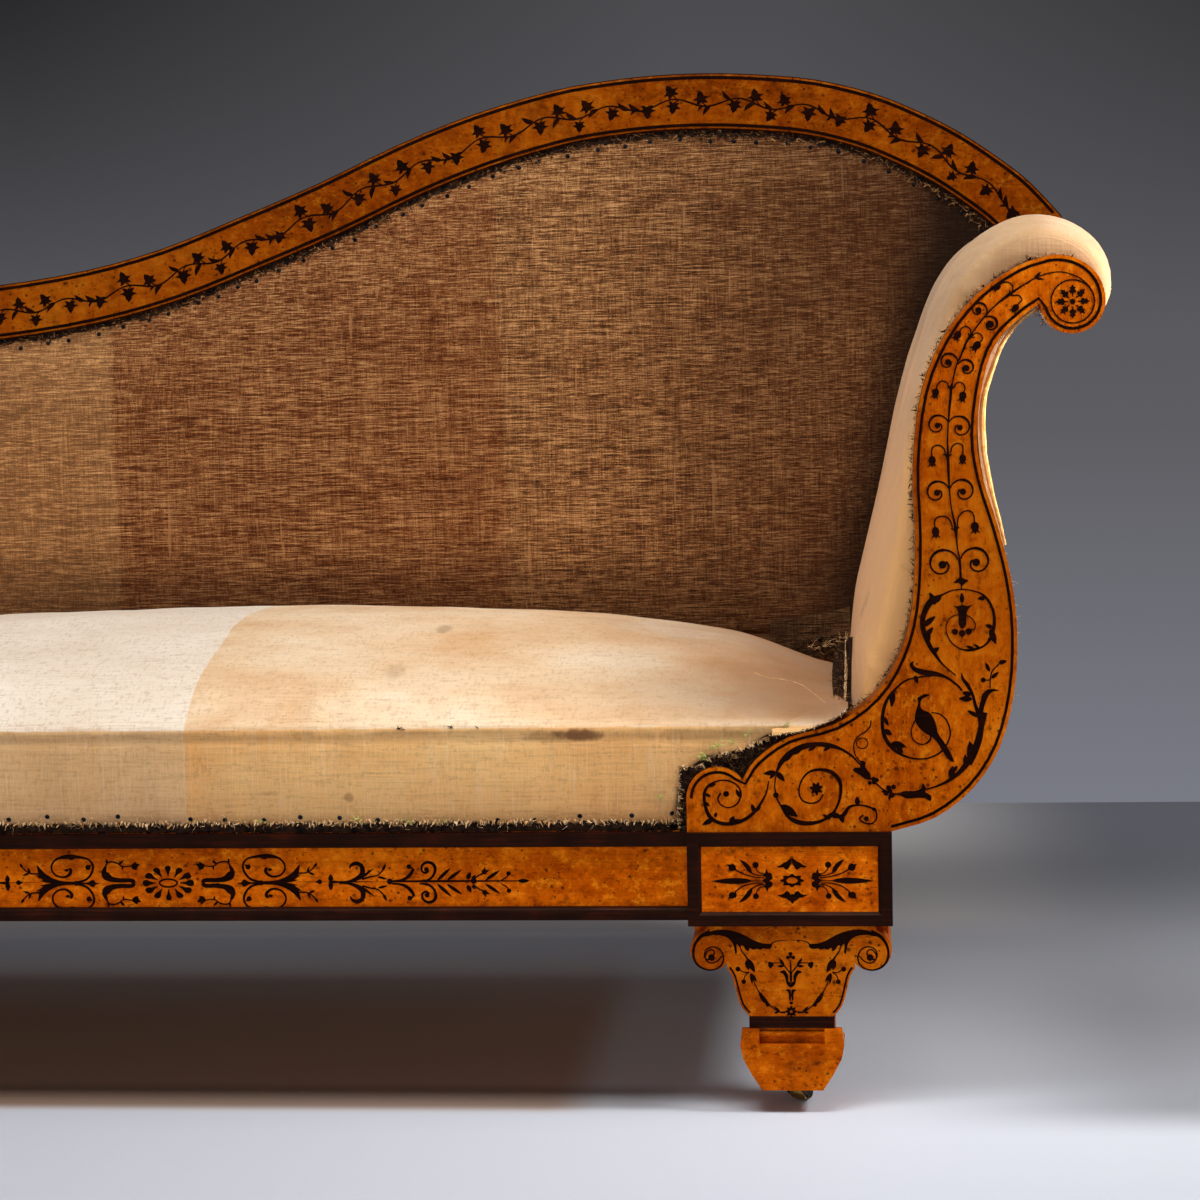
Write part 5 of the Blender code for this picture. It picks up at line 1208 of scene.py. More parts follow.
def soft_copy(node, name, voxel):
    """A finely meshed, smoothed copy of a CAD solid, as the start of its cloth."""
    obj = made_from(welded(node), name)
    remesh = obj.modifiers.new("Even mesh", "REMESH")
    remesh.mode = "VOXEL"
    remesh.voxel_size = voxel
    soften = obj.modifiers.new("Soft", "SMOOTH")
    soften.factor = 0.5
    soften.iterations = 5
    take(obj, evaluated(obj), name)
    return obj


def vectors(collection, key):
    found = np.empty(len(collection) * 3)
    collection.foreach_get(key, found)
    return found.reshape(-1, 3)


def points_of(mesh):
    return vectors(mesh.vertices, "co")


def put_points(mesh, places):
    mesh.vertices.foreach_set("co", np.ascontiguousarray(places).ravel())
    mesh.update()


def move_out(obj, rise):
    """Moves each vertex along its normal by rise(point)."""
    places, ups = points_of(obj.data), vectors(obj.data.vertex_normals, "vector")
    put_points(obj.data, places + ups * np.array([rise(p) for p in places])[:, None])


PRESSURE = 4.0
FRAMES = 20


def swell(obj, held, cap):
    """Simulates the cover as cloth pressed out by its stuffing. held and cap take a point and give how firmly it is
    held, from 0 to 1, and how far it may move."""
    start = points_of(obj.data)
    group = obj.vertex_groups.new(name="held")
    for i, point in enumerate(start):
        weight = held(point)
        if weight > 0:
            group.add([i], weight, "REPLACE")
    cloth = obj.modifiers.new("Cloth", "CLOTH")
    settings = cloth.settings
    settings.quality = 4
    settings.mass = 0.25
    settings.vertex_group_mass = "held"
    settings.use_pressure = True
    settings.uniform_pressure_force = PRESSURE
    settings.effector_weights.gravity = 0
    cloth.collision_settings.use_collision = False
    cloth.point_cache.frame_start = 1
    cloth.point_cache.frame_end = FRAMES
    for step in range(1, FRAMES + 1):
        bpy.context.scene.frame_set(step)
    shift = points_of(evaluated(obj)) - start
    bpy.context.scene.frame_set(1)
    obj.modifiers.clear()
    obj.vertex_groups.clear()
    most = np.array([cap(p) for p in start])
    size = np.maximum(np.linalg.norm(shift, axis=1), 1e-9)
    put_points(obj.data, start + shift * np.minimum(1, most / size)[:, None])
    finer = obj.modifiers.new("Finer", "SUBSURF")
    finer.levels = finer.render_levels = 1
    take(obj, evaluated(obj), obj.name)


def ripple(x, y, z, seed=0.0):
    return noise.noise(Vector((x, y, z + seed)))


def smooth_step(value, low, high):
    share = min(max((value - low) / (high - low), 0), 1)
    return share * share * (3 - 2 * share)


class Bits:
    """Threads, hairs, torn scraps and tack heads, gathered into one piece."""

    OFF_AXIS = (0.3, 0.2, 0.93)
    TACK_SIDES = 9

    def __init__(self, name):
        self.name = name
        self.points, self.faces = [], []

    def wrap(self, base, sides):
        """Closes the rings of points that are stored from base on into one solid."""
        last = len(self.points) - sides
        for start in range(base, last, sides):
            self.faces += rim_faces(start, sides)
        self.faces += [tuple(range(base, base + sides)), tuple(range(last, last + sides))]

    def tube(self, path, wide, thick, across=OFF_AXIS, sides=3, tip=0.35):
        """A tube along a path, wide along the direction across, that thins to a share of that at its tip."""
        base, last = len(self.points), len(path) - 1
        path = [Vector(p) for p in path]
        for i, place in enumerate(path):
            ahead = (path[min(i + 1, last)] - path[max(i - 1, 0)]).normalized()
            side = Vector(across) - ahead * ahead.dot(Vector(across))
            side = side.normalized() if side.length > 1e-4 else ahead.orthogonal().normalized()
            up = ahead.cross(side)
            share = 1 - (1 - tip) * i / last
            for k in range(sides):
                angle = 2 * math.pi * k / sides
                out, rise = wide * share * math.cos(angle), thick * share * math.sin(angle)
                self.points.append(place + side * out + up * rise)
        self.wrap(base, sides)

    def hair(self, place, ahead, length, radius, curl=0.5, steps=4, wide=None, across=OFF_AXIS):
        """A strand that starts at a place and wanders off; a wide one is a torn scrap."""
        here, run = Vector(place), Vector(ahead).normalized()
        path = [here.copy()]
        for _ in range(steps):
            run = (run + Vector([RNG.gauss(0, curl) for _ in range(3)])).normalized()
            here = here + run * (length / steps)
            path.append(here.copy())
        if wide:
            self.tube(path, wide, radius, across, 4, 0.25)
        else:
            self.tube(path, radius, radius)

    def tack(self, place, normal, radius):
        """A domed tack head on a surface."""
        normal = Vector(normal).normalized()
        side = normal.orthogonal().normalized()
        up = normal.cross(side)
        base = len(self.points)
        for out, rise in ((1.0, -0.15), (1.0, 0.12), (0.72, 0.36), (0.30, 0.47)):
            for k in range(self.TACK_SIDES):
                angle = 2 * math.pi * k / self.TACK_SIDES
                self.points.append(Vector(place) + normal * rise * radius
                                   + (side * math.cos(angle) + up * math.sin(angle)) * out * radius)
        self.wrap(base, self.TACK_SIDES)

    def patch(self, ring, front, back):
        """A scrap in an outline of (X, Z) points, with front and back giving its Y over (X, Z)."""
        self.faces += slab_faces(len(self.points), len(ring), filled(ring))
        self.points += [Vector((x, side(x, z), z)) for side in (front, back) for x, z in ring]

    def mirrored(self):
        """Adds the same bits at the other end."""
        base = len(self.points)
        self.points += [Vector((-p[0], p[1], p[2])) for p in self.points]
        self.faces += [[base + i for i in reversed(face)] for face in self.faces]

    def build(self, material, slot):
        return dressed(mesh_piece(self.name, self.points, self.faces), material)


# The seat
def seat_held(p):
    x, y, z = p
    low, end, rear = smooth_step(z, 0.266, 0.285), smooth_step(abs(x), 0.57, 0.615), smooth_step(y, 0.20, 0.255)
    return max(1 - low, 0.9 * end, 0.6 * rear)


def seat_cap(p):
    return 0.0012 + 0.0016 * smooth_step(p[2], 0.34, 0.385)


# The height of the stitched roll along the seat's front edge
EDGE_Z = 0.3555


def seat_rise(p):
    """Soft lumps over the stuffing, shallow creases behind the front edge, and that edge's stitched roll."""
    x, y, z = p
    lump = 0.0028 * ripple(x * 5, y * 6, 0, 3.1) + 0.0010 * ripple(x * 15, y * 13, z * 9, 7.7)
    front = 1 - smooth_step(y, -0.30, -0.10)
    crease = -0.0014 * abs(ripple(x * 24 + 2 * ripple(y * 9, x * 5, 0), y * 4, z * 6, 1.3)) * (0.2 + front)
    dip = -0.010 * smooth_step(abs(x), 0.50, 0.60) * smooth_step(y, -0.27, -0.12) * smooth_step(z, 0.34, 0.36)
    near = math.hypot((y + 0.3235) * 0.9, z - EDGE_Z - 0.0012 * ripple(x * 9, 0, 0, 5.5))
    roll = 0.0042 * math.exp(-((near / 0.0062) ** 2)) * (1 + 0.25 * ripple(x * 60, 0, 0, 2.0))
    groove = -0.0012 * math.exp(-(((z - EDGE_Z + 0.0125) / 0.004) ** 2)) if y < -0.315 else 0
    return lump + crease + roll + groove + dip


seat = soft_copy("seat_pad", "seat_in_calico", 0.0075)
swell(seat, seat_held, seat_cap)
move_out(seat, seat_rise)
on_seat = Surface(seat)

# The seam across the seat, as (Y, X), from under its front edge to the back
SEAM_PIXELS = ((245.4, 616), (228.4, 633), (212.8, 655), (198.4, 678), (189.2, 704.6), (184, 724))
SEAM_FROM, SEAM_TO, SEAM_SPAN = -0.34, 0.30, 0.64
seam = [(place.y, place.x) for place, _ in (on_seat.under(*pixel) for pixel in SEAM_PIXELS)]
seam_foot = on_seat.under(188, 780)[0].x
seam = sorted([(SEAM_FROM, seam_foot), *seam, (SEAM_TO, max(x for _, x in seam) + 0.03)])
seam = smooth_path(seam, 2)

# Stains of the seat: pixel, half length and half height in metres, and how dark
STAINS = (((578, 735), 0.030, 0.0075, 0.8), ((556, 737), 0.04, 0.007, 0.35), ((444, 629), 0.010, 0.004, 0.4),
          ((349, 798), 0.006, 0.006, 0.5), ((395, 672), 0.012, 0.012, 0.2), ((700, 735), 0.06, 0.010, 0.25))
STAIN_DEPTH = 0.03


def seat_look():
    """Two old cottons sewn along a curved seam, whitish at the foot end and peach at the head end."""
    look = Look("Seat calico")
    x, y, z = look.split(look.place)
    low, high = seam[0][1] - 0.01, seam[-1][1] + 0.01
    stops = [((b - SEAM_FROM) / SEAM_SPAN, ((a - low) / (high - low),) * 3 + (1,)) for b, a in seam]
    line = look.ramp(look.scaled(y, 1 / SEAM_SPAN, -SEAM_FROM / SEAM_SPAN), *stops)
    line = look.scaled(line, high - low, low)
    past = look.minus(x, look.scaled(look.noise(60), 0.002, line))
    head = look.band(past, -0.0007, 0.0007)
    patch = look.noise(7, look.stretched((0.7, 1, 1)), 6, 0.62)
    slub = look.noise(420, look.stretched((0.045, 0.5, 1)), 3, 0.62)
    upright = look.noise(420, look.stretched((1, 0.5, 0.045)), 3, 0.62)
    white = look.ramp(patch, (0.34, tone(240, 220, 196)), (0.66, tone(252, 238, 218)))
    peach = look.ramp(patch, (0.32, tone(224, 172, 118)), (0.5, tone(243, 208, 166)), (0.66, tone(252, 230, 198)))
    front_white = look.ramp(patch, (0.34, tone(232, 180, 120)), (0.66, tone(252, 210, 154)))
    front_peach = look.ramp(patch, (0.34, tone(246, 174, 98)), (0.66, tone(255, 204, 132)))
    edge = look.scaled(look.noise(40, detail=3), 0.003, look.minus(z, EDGE_Z + 0.0005))
    is_front = look.times(look.band(edge, 0.0010, -0.0010), look.band(y, -0.306, -0.314))
    look.colour = look.mix(head, white, peach)
    look.paint(is_front, look.mix(head, front_white, front_peach))
    far = look.scaled(look.noise(6, detail=4), 0.14, x)
    shade = look.times(look.band(far, 0.42, 0.68, 0, 0.85), look.band(z, 0.352, 0.362, 0.3, 1.0))
    look.paint(shade, tone(146, 94, 44))
    slubs = look.times(look.band(slub, 0.46, 0.70, 0, 0.32), look.band(z, 0.366, 0.356, 0.42, 1.0))
    look.paint(slubs, tone(196, 140, 84))
    look.paint(look.times(look.band(upright, 0.5, 0.72, 0, 0.22), is_front), tone(250, 228, 192))
    weft = look.noise(900, look.stretched((0.10, 0.35, 0.35)), 2, 0.8)
    warp = look.noise(900, look.stretched((0.35, 0.10, 0.10)), 2, 0.8)
    look.paint(look.band(look.times(look.plus(weft, warp), 0.5), 0.50, 0.62, 0, 0.30), tone(176, 122, 72))
    specks = look.band(look.noise(90, detail=4, rough=0.7), 0.68, 0.78, 0, 0.55)
    look.paint(look.times(specks, look.band(look.noise(6), 0.5, 0.62)), tone(158, 98, 46))
    low_dirt = look.times(look.band(z, 0.325, 0.27, 0, 0.34), look.band(y, -0.300, -0.315))
    look.paint(low_dirt, tone(176, 112, 60))
    # Painted shadow: a darker band in the groove just under the front edge's stitched roll.
    from_roll = look.math("ABSOLUTE", look.minus(z, EDGE_Z - 0.0045))
    under = look.times(look.band(from_roll, 0.0045, 0.0), look.band(look.noise(14, detail=4), 0.42, 0.62))
    look.paint(look.times(under, look.band(y, -0.312, -0.318, 0, 0.38)), tone(140, 88, 44))
    for pixel, wide, tall, dark in STAINS:
        centre, _ = on_seat.under(*pixel)
        moved = look.node("ShaderNodeMapping", {
            "Vector": look.place, "Location": (-centre.x / wide, -centre.y / STAIN_DEPTH, -centre.z / tall),
            "Scale": (1 / wide, 1 / STAIN_DEPTH, 1 / tall),
        })
        far = look.node("ShaderNodeVectorMath", {0: moved.outputs["Vector"]}, operation="LENGTH").outputs["Value"]
        far = look.scaled(look.noise(120, detail=4), 0.9, look.minus(far, 0.45))
        look.paint(look.band(far, 1.0, 0.45, 0, dark), tone(120, 70, 30))
    look.set(0.92, Sheen_Weight=0.1)
    rise = look.plus(look.times(look.weave(0.0011), 0.6), look.plus(slub, upright))
    look.bump(look.plus(rise, look.times(look.band(past, -0.0012, 0.0012), 0.5)), 0.0006, 0.5)
    return look.material


SEAT_LOOK = seat_look()
dressed(seat, SEAT_LOOK)
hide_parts("seat_pad")


# The arms' pads
def pad_held(p):
    return max(smooth_step(-p[1], 0.262, 0.288), smooth_step(p[1], 0.25, 0.276), 1 - smooth_step(p[2], 0.30, 0.34))


def pad_cap(p):
    return 0.0035 * (1 - smooth_step(abs(p[1]), 0.26, 0.29))


def pad_rise(p):
    x, y, z = p
    lump = 0.0022 * ripple(x * 9, y * 6, z * 9, 11.0)
    fold = -0.0022 * abs(ripple(x * 7, y * 20 + 2 * ripple(z * 12, x * 8, 0), z * 9, 4.2))
    fine = -0.0013 * abs(ripple(x * 9, y * 46 + 2 * ripple(z * 14, x * 9, 0), z * 10, 6.6))
    fine *= smooth_step(z, 0.60, 0.72)
    return lump + fold + fine + 0.0006


# The pads' top keeps a darker tone and their lower part is painted brighter: painted light and shade.
PAD_LOOK = calico("Pad calico", tone(176, 134, 90), tone(202, 160, 114), stain=0.4, seed=1.9, low=0.8)
pads = {}
for side in ("left", "right"):
    pad = soft_copy(f"arm_pad_{side}", f"arm_pad_in_calico_{side}", 0.0065)
    swell(pad, pad_held, pad_cap)
    move_out(pad, pad_rise)
    dressed(pad, PAD_LOOK)
    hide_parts(f"arm_pad_{side}")
    pads[side] = pad


# Sheets of cloth
def between(a, b, share):
    return (a[0] + (b[0] - a[0]) * share, a[1] + (b[1] - a[1]) * share)


def cloth_shell(node, name, level, front_of, thick, step, wave):
    """A thin closed sheet in a node's outline: front_of gives its Y over (X, Z), wave moves it away from its rim, and
    the back is thick behind. It gives the object, its flat size and its flat area."""
    ring = face_loop(node, level)
    fine = []
    for a, b in zip(ring, ring[1:] + ring[:1]):
        parts = max(1, round(math.dist(a, b) / step))
        fine += [between(a, b, i / parts) for i in range(parts)]
    xs, zs = [p[0] for p in fine], [p[1] for p in fine]
    grid = [Vector((x, z)) for x in np.arange(min(xs) + step / 2, max(xs), step)
            for z in np.arange(min(zs) + step / 2, max(zs), step)]
    edges = np.array(fine)
    apart = [g for g in grid if np.hypot(*(edges - np.array(g)).T).min() > step * 0.55]
    rim = range(len(fine))
    found, _, faces, _, _, _ = delaunay_2d_cdt([Vector(p) for p in fine] + apart, [], [list(rim)], 1, 1e-6)
    links = [set() for _ in found]
    for face in faces:
        for i, j in zip(face, face[1:] + face[:1]):
            links[i].add(j)
            links[j].add(i)
    depth = np.array([front_of(p[0], p[1]) for p in found])
    for _ in range(6):
        depth = np.array([
            depth[i] if i in rim or not near else 0.5 * depth[i] + 0.5 * np.mean([depth[j] for j in near])
            for i, near in enumerate(links)
        ])
    depth = depth + np.array([0 if i in rim else wave(p[0], p[1]) for i, p in enumerate(found)])
    total = len(found)
    points = [(p[0], y, p[1]) for p, y in zip(found, depth)] + [(p[0], y + thick, p[1]) for p, y in zip(found, depth)]
    shell = [list(face) for face in faces] + [[total + i for i in reversed(face)] for face in faces]
    border = {}
    for face in faces:
        for i, j in zip(face, face[1:] + face[:1]):
            if (j, i) in border:
                del border[(j, i)]
            else:
                border[(i, j)] = True
    shell += [[j, i, total + i, total + j] for i, j in border]
    area = 0
    for face in faces:
        for second, third in zip(face[1:], face[2:]):
            (x0, z0), (x1, z1), (x2, z2) = found[face[0]], found[second], found[third]
            area += abs((x1 - x0) * (z2 - z0) - (x2 - x0) * (z1 - z0)) / 2
    return mesh_piece(name, points, shell, smooth=True), (max(xs) - min(xs), max(zs) - min(zs)), area


back_solid = Surface(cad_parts["back_canvas"])


# Where the canvas stands if nothing of its solid is met
CANVAS_REST = 0.2857


def canvas_front(x, z):
    return min(back_solid.depth(x, z, CANVAS_REST), 0.2868)


def canvas_wave(x, z):
    """Slack runs of the old canvas, mostly across."""
    return 0.0016 * ripple(x * 4, z * 9, 0, 8.8) + 0.0009 * ripple(x * 16, z * 10, 0, 2.2)


canvas, size, area = cloth_shell("back_canvas", "back_in_canvas", level=0.2897, front_of=canvas_front,
                                 thick=0.0012, step=0.009, wave=canvas_wave)
dressed(canvas, HESSIAN)
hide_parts("back_canvas")

rear, size, area = cloth_shell("back_rear_cover", "back_rear_cloth", level=0.3213, front_of=lambda x, z: 0.3188,
                               thick=0.0013, step=0.012,
                               wave=lambda x, z: 0.0008 + 0.0008 * ripple(x * 6, z * 7, 0, 5.1))
dressed(rear, REAR_CLOTH)
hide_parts("back_rear_cover")


def subdivided(node, name, longest):
    """A copy of a thin CAD sheet, cut finely enough to ripple."""
    bm = welded(node)
    for _ in range(7):
        long_edges = [e for e in bm.edges if e.calc_length() > longest]
        if not long_edges:
            break
        bmesh.ops.subdivide_edges(bm, edges=long_edges, cuts=1, use_grid_fill=True)
        bmesh.ops.triangulate(bm, faces=[f for f in bm.faces if len(f.verts) > 4])
    return made_from(bm, name)


for side in ("left", "right"):
    cover = subdivided(f"arm_outer_cover_{side}", f"arm_outer_cloth_{side}", 0.016)
    places = points_of(cover.data)
    shift = np.array([0.0010 * ripple(x * 9, y * 7, z * 9, 6.6) + 0.0004 * ripple(x * 30, y * 24, z * 30, 2.6)
                      for x, y, z in places])
    places[:, 0] += shift * (1 if side == "right" else -1)
    put_points(cover.data, places)
    dressed(cover, OUTER_CLOTH)
    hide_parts(f"arm_outer_cover_{side}")
    area = sum(f.area for f in cover.data.polygons) / 2
    low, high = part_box(f"arm_outer_cover_{side}")

# Webbing under the seat, woven over and under
WEB_MIDDLE, WEB_RISE, WEB_THICK, WEB_WIDTH = 0.25995, 0.00062, 0.0005, 0.055
WEB_CROSS, WEB_ALONG = 0.112, 0.120
STRAPS_ACROSS, STRAPS_ALONG, STRAP_STEPS = 11, 4, 120
_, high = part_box("seat_webbing")
straps = Bits("seat_web_straps")


def strap(centre, reach, run_along_x, way, pitch, first):
    """One strap in waves of a pitch, over (way 1) or under (way -1) the strap that it crosses at first."""
    base = len(straps.points)
    for i in range(STRAP_STEPS + 1):
        run = -reach + 2 * reach * i / STRAP_STEPS
        rise = WEB_MIDDLE + way * WEB_RISE * math.cos(math.pi * (run - first) / pitch)
        for across, up in ((-1, -1), (-0.93, 1), (0.93, 1), (1, -1)):
            place = (run, centre + across * WEB_WIDTH / 2)
            straps.points.append((*(place if run_along_x else place[::-1]), rise + up * WEB_THICK))
    straps.wrap(base, 4)


for i in range(STRAPS_ACROSS):
    strap((i - 5) * WEB_CROSS, high.y, False, 1 if i % 2 else -1, WEB_ALONG, -1.5 * WEB_ALONG)
for j in range(STRAPS_ALONG):
    strap((j - 1.5) * WEB_ALONG, high.x, True, -1 if j % 2 else 1, WEB_CROSS, -5 * WEB_CROSS)
webs = straps.build(WEBBING, "webbing")
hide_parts("seat_webbing")

# Tacks, torn edges and horsehair
tacks = Bits("tack_heads")
frayed = Bits("frayed_calico")
horsehair = Bits("horsehair")
green = Bits("green_threads")
brown = Bits("frayed_canvas")
on_canvas = Surface(canvas)
on_all = Surface(seat, *pads.values())

# The rolled edge of the outer calico, which tapers at both ends
outer_roll = Bits("outer_calico_roll")
ROLL_Y = -0.317
ROLL_PIXELS = (
    (1034, 309), (1018, 321.5), (1001, 344), (992, 366.8), (985.9, 384.7), (982.5, 399.7), (981.3, 419.5),
    (981.9, 435.2), (982.9, 451), (985.6, 466.8), (988.6, 482.6), (991.8, 496.8), (998, 519.6), (1004, 545))
trail = smooth_path([seen(px, py, ROLL_Y) for px, py in ROLL_PIXELS], 5)
for i, (a, b) in enumerate(zip(trail, trail[1:])):
    full = 0.0006 + 0.0021 * math.sin(math.pi * (0.01 + 0.98 * i / (len(trail) - 1))) ** 0.5
    full += 0.0002 * ripple(a[0] * 60, 0, a[1] * 60, 1.4)
    middle = ((a[0] + b[0]) / 2, (a[1] + b[1]) / 2)
    outer_roll.tube([(x + 0.001, ROLL_Y, z) for x, z in (a, middle, b)], full, full, sides=8, tip=1.0)


def seat_front(x, z):
    return on_seat.depth(x, max(z, SEAT_FOOT), SEAT_FRONT)


def jagged(run, low_of, high_of, rough):
    """A ring of (X, Z) points between two edges over the stations of run, each torn by up to rough."""
    top = [(x, high_of(x) + RNG.uniform(-rough, rough)) for x in run]
    bottom = [(x, low_of(x) + RNG.uniform(-rough, rough) * 0.3) for x in run]
    return top + bottom[::-1]


# The horsehair and the frayed calico under the seat's front edge
SEAT_END = seen(680, 800, SEAT_PLANE)[0]
FRINGE_LOW = 0.2592
start = -SEAT_END
while start < SEAT_END - 0.001:
    stop = min(start + 0.06, SEAT_END)
    run = list(np.arange(start, stop + 0.0001, 0.002))
    horsehair.patch(jagged(run, lambda x: FRINGE_LOW, lambda x: 0.2668, 0.0026),
                    lambda x, z: seat_front(x, z) - 0.0007, lambda x, z: seat_front(x, z) + 0.0004)
    start = stop
for _ in range(900):
    x = RNG.uniform(-SEAT_END, SEAT_END)
    z = RNG.uniform(FRINGE_LOW, 0.2665)
    horsehair.hair((x, seat_front(x, z) - 0.0008, z), (RNG.gauss(0, 1.2), -0.2, RNG.uniform(-0.1, 1)),
                   RNG.uniform(0.003, 0.009), 0.00026, 0.55, 3)
x = -SEAT_END
while x < SEAT_END:
    x += RNG.uniform(0.0010, 0.0034)
    high_edge = 0.2690 + 0.0022 * ripple(x * 50, 0, 0, 9.0)
    z = high_edge + RNG.uniform(-0.0012, 0.002)
    frayed.hair((x, seat_front(x, z) - 0.0004, z), (RNG.gauss(0, 0.35), -0.30, -1), RNG.uniform(0.002, 0.0062),
                0.00022, 0.25, 3, RNG.uniform(0.0004, 0.0013), (1, 0, 0))
for _ in range(420):
    x = RNG.uniform(-SEAT_END, SEAT_END)
    z = RNG.uniform(0.2640, 0.2745)
    frayed.hair((x, seat_front(x, z) - 0.0008, z), (RNG.gauss(0, 0.9), -0.35, RNG.uniform(-1, 0.5)),
                RNG.uniform(0.003, 0.010), 0.00016, 0.5, 4)

# The seat's tacks: read in the photograph, then on at random to the foot end, which is out of the picture
SEAT_TACKS = ((152, 824.9), (189.2, 820.2), (223.7, 821), (263, 821), (299.6, 817.8), (339, 818.6), (377, 821),
              (414, 823.6), (457.5, 823.6), (497, 821), (534.4, 821), (579.4, 816.9), (631.5, 816.2), (671.5, 814.5))
spots = [seen(px, py, SEAT_PLANE) for px, py in SEAT_TACKS]
x = spots[0][0] - 0.033
while x > -SEAT_END + 0.01:
    spots.append((x, 0.2735 + RNG.uniform(-0.0018, 0.0022)))
    x -= RNG.uniform(0.029, 0.037)
for x, z in spots:
    tacks.tack(*on_seat.front(x, z), 0.0023)

# Green threads caught on the seat, and a few dark hairs on its top
for px, py in ((359, 818), (322.6, 823.6), (406.3, 821), (441.6, 822.3), (482.1, 824.4), (262.4, 821), (659.4, 796.3),
               (701.8, 756.3), (703, 754), (718.7, 745.4), (716, 747), (733.3, 740.6), (746.6, 734.5), (813, 723.6),
               (786.6, 724.8), (806, 724)):
    place, _ = on_all.under(px, py)
    for _ in range(7):
        green.hair(place - FORWARD * 0.0010 + Vector((RNG.gauss(0, 0.0016), 0, RNG.gauss(0, 0.0007))),
                   (RNG.gauss(0, 1), -0.3, RNG.gauss(0, 0.5)), RNG.uniform(0.003, 0.008), 0.0004, 0.5, 3)
for px, py in ((399.7, 728.7), (402, 729), (449.4, 726.8), (476.9, 727.4), (398, 728.2), (452, 727)):
    place, _ = on_seat.under(px, py)
    for _ in range(5):
        horsehair.hair(place - FORWARD * 0.0006, (RNG.gauss(0, 1), -0.2, RNG.gauss(0, 0.3)), 0.003, 0.0004, 0.5, 2)

# The torn corner beside the arm's lobe, at both ends: the calico's torn edge, and the other edge of what it bares
TEAR = ((678.7, 829), (677.5, 803.6), (678.7, 774.5), (682.4, 767.2), (699.3, 766.6), (713.9, 757.5), (738.1, 750.3),
        (750.2, 745.4), (762.4, 741.5), (769.6, 735.7), (778, 730.9), (800, 730.2))
BESIDE = ((818, 729), (793.9, 734.5), (778, 741), (765, 750), (755, 762), (748, 777), (745, 781), (733, 774),
          (716, 771), (702, 777), (692.5, 791), (688, 811), (687, 834), (679, 836))
tear = [seen(px, py, SEAT_PLANE) for px, py in smooth_path(TEAR, 3)]
beside = [seen(px, py, SEAT_PLANE) for px, py in BESIDE]
tear = [(x + RNG.gauss(0, 0.0007), z + RNG.gauss(0, 0.0007)) for x, z in tear]
ring = tear + beside
xs, zs = zip(*ring)


def corner_front(x, z):
    return max(min(on_seat.depth(min(x, 0.58), max(z, SEAT_FOOT), SEAT_FRONT), -0.318), -0.3255)


corner = Bits("corner_hair")
corner_light = Bits("corner_light_hair")
corner.patch(ring, lambda x, z: corner_front(x, z) - 0.0008, lambda x, z: corner_front(x, z) + 0.0006)


def within(x, z):
    inside = False
    for (x0, z0), (x1, z1) in zip(ring, ring[1:] + ring[:1]):
        if (z0 > z) != (z1 > z) and x < x0 + (z - z0) * (x1 - x0) / (z1 - z0):
            inside = not inside
    return inside


made = 0
while made < 900:
    x, z = RNG.uniform(min(xs), max(xs)), RNG.uniform(min(zs), max(zs))
    if not within(x, z):
        continue
    made += 1
    kind = corner if RNG.random() < 0.72 else corner_light
    kind.hair((x, corner_front(x, z) - 0.0012, z), (RNG.gauss(0, 1), -0.35, RNG.gauss(0, 0.8)),
              RNG.uniform(0.003, 0.009), RNG.uniform(0.0002, 0.0004), 0.7, 4)
edge_fringe = Bits("corner_calico")
for a, b in zip(tear, tear[1:]):
    length = math.hypot(b[0] - a[0], b[1] - a[1])
    across = Vector((b[1] - a[1], 0, -(b[0] - a[0]))).normalized()
    for _ in range(max(2, round(length / 0.0011))):
        x, z = between(a, b, RNG.random())
        wide = RNG.uniform(0.0004, 0.0014) if RNG.random() < 0.6 else None
        run = across + Vector((RNG.gauss(0, 0.3), -0.35, RNG.gauss(0, 0.3)))
        edge_fringe.hair(Vector((x, corner_front(x, z) - 0.0009, z)) - across * 0.001, run, RNG.uniform(0.002, 0.006),
                         0.0002, 0.3, 3, wide, ((b[0] - a[0]) / length, 0, (b[1] - a[1]) / length))

# The lap of the seat's cover over the pad's foot: pixels across, and down to its upper and its lower edge. Each station
# is a ring of LAP_RING points, front and back by turns from the upper edge down.
LAP = ((772, 729, 735.5), (786, 722, 733.5), (800, 716, 731), (812, 710, 727.5), (823, 704, 723.5), (833, 700, 719),
       (841, 697, 714), (848, 694, 709))
LAP_PLANE = -0.3275
LAP_RING = 8
on_seat_and_pad = Surface(seat, pads["right"])
upper_edge = [on_seat_and_pad.under(px, high_py)[0] + Vector((0, -0.0002, 0.0003)) for px, high_py, _ in LAP]
lower_edge = [Vector((x, LAP_PLANE, z)) for x, z in (seen(px, low_py, LAP_PLANE) for px, _, low_py in LAP)]
lap = Bits("seat_cover_lap")
for a, b in zip(upper_edge, lower_edge):
    for share in (0.0, 0.35, 0.7, 1.0):
        place = a.lerp(b, share)
        place.z += 0.0022 * math.sin(math.pi * share) + RNG.gauss(0, 0.0005)
        lap.points += [place, place + Vector((0, 0.0006, -0.0008))]
for i in range(len(LAP) - 1):
    for k in range(3):
        a, b = LAP_RING * i + 2 * k, LAP_RING * (i + 1) + 2 * k
        lap.faces += [(a, b, b + 2, a + 2), (a + 1, a + 3, b + 3, b + 1)]
for i in range(len(LAP) - 1):
    a, b = LAP_RING * i, LAP_RING * (i + 1)
    lap.faces += [(a, a + 1, b + 1, b), (a + 6, b + 6, b + 7, a + 7)]
for a in (0, LAP_RING * (len(LAP) - 1)):
    lap.faces += [(a + 2 * k, a + 2 * k + 1, a + 2 * k + 3, a + 2 * k + 2) for k in range(3)]
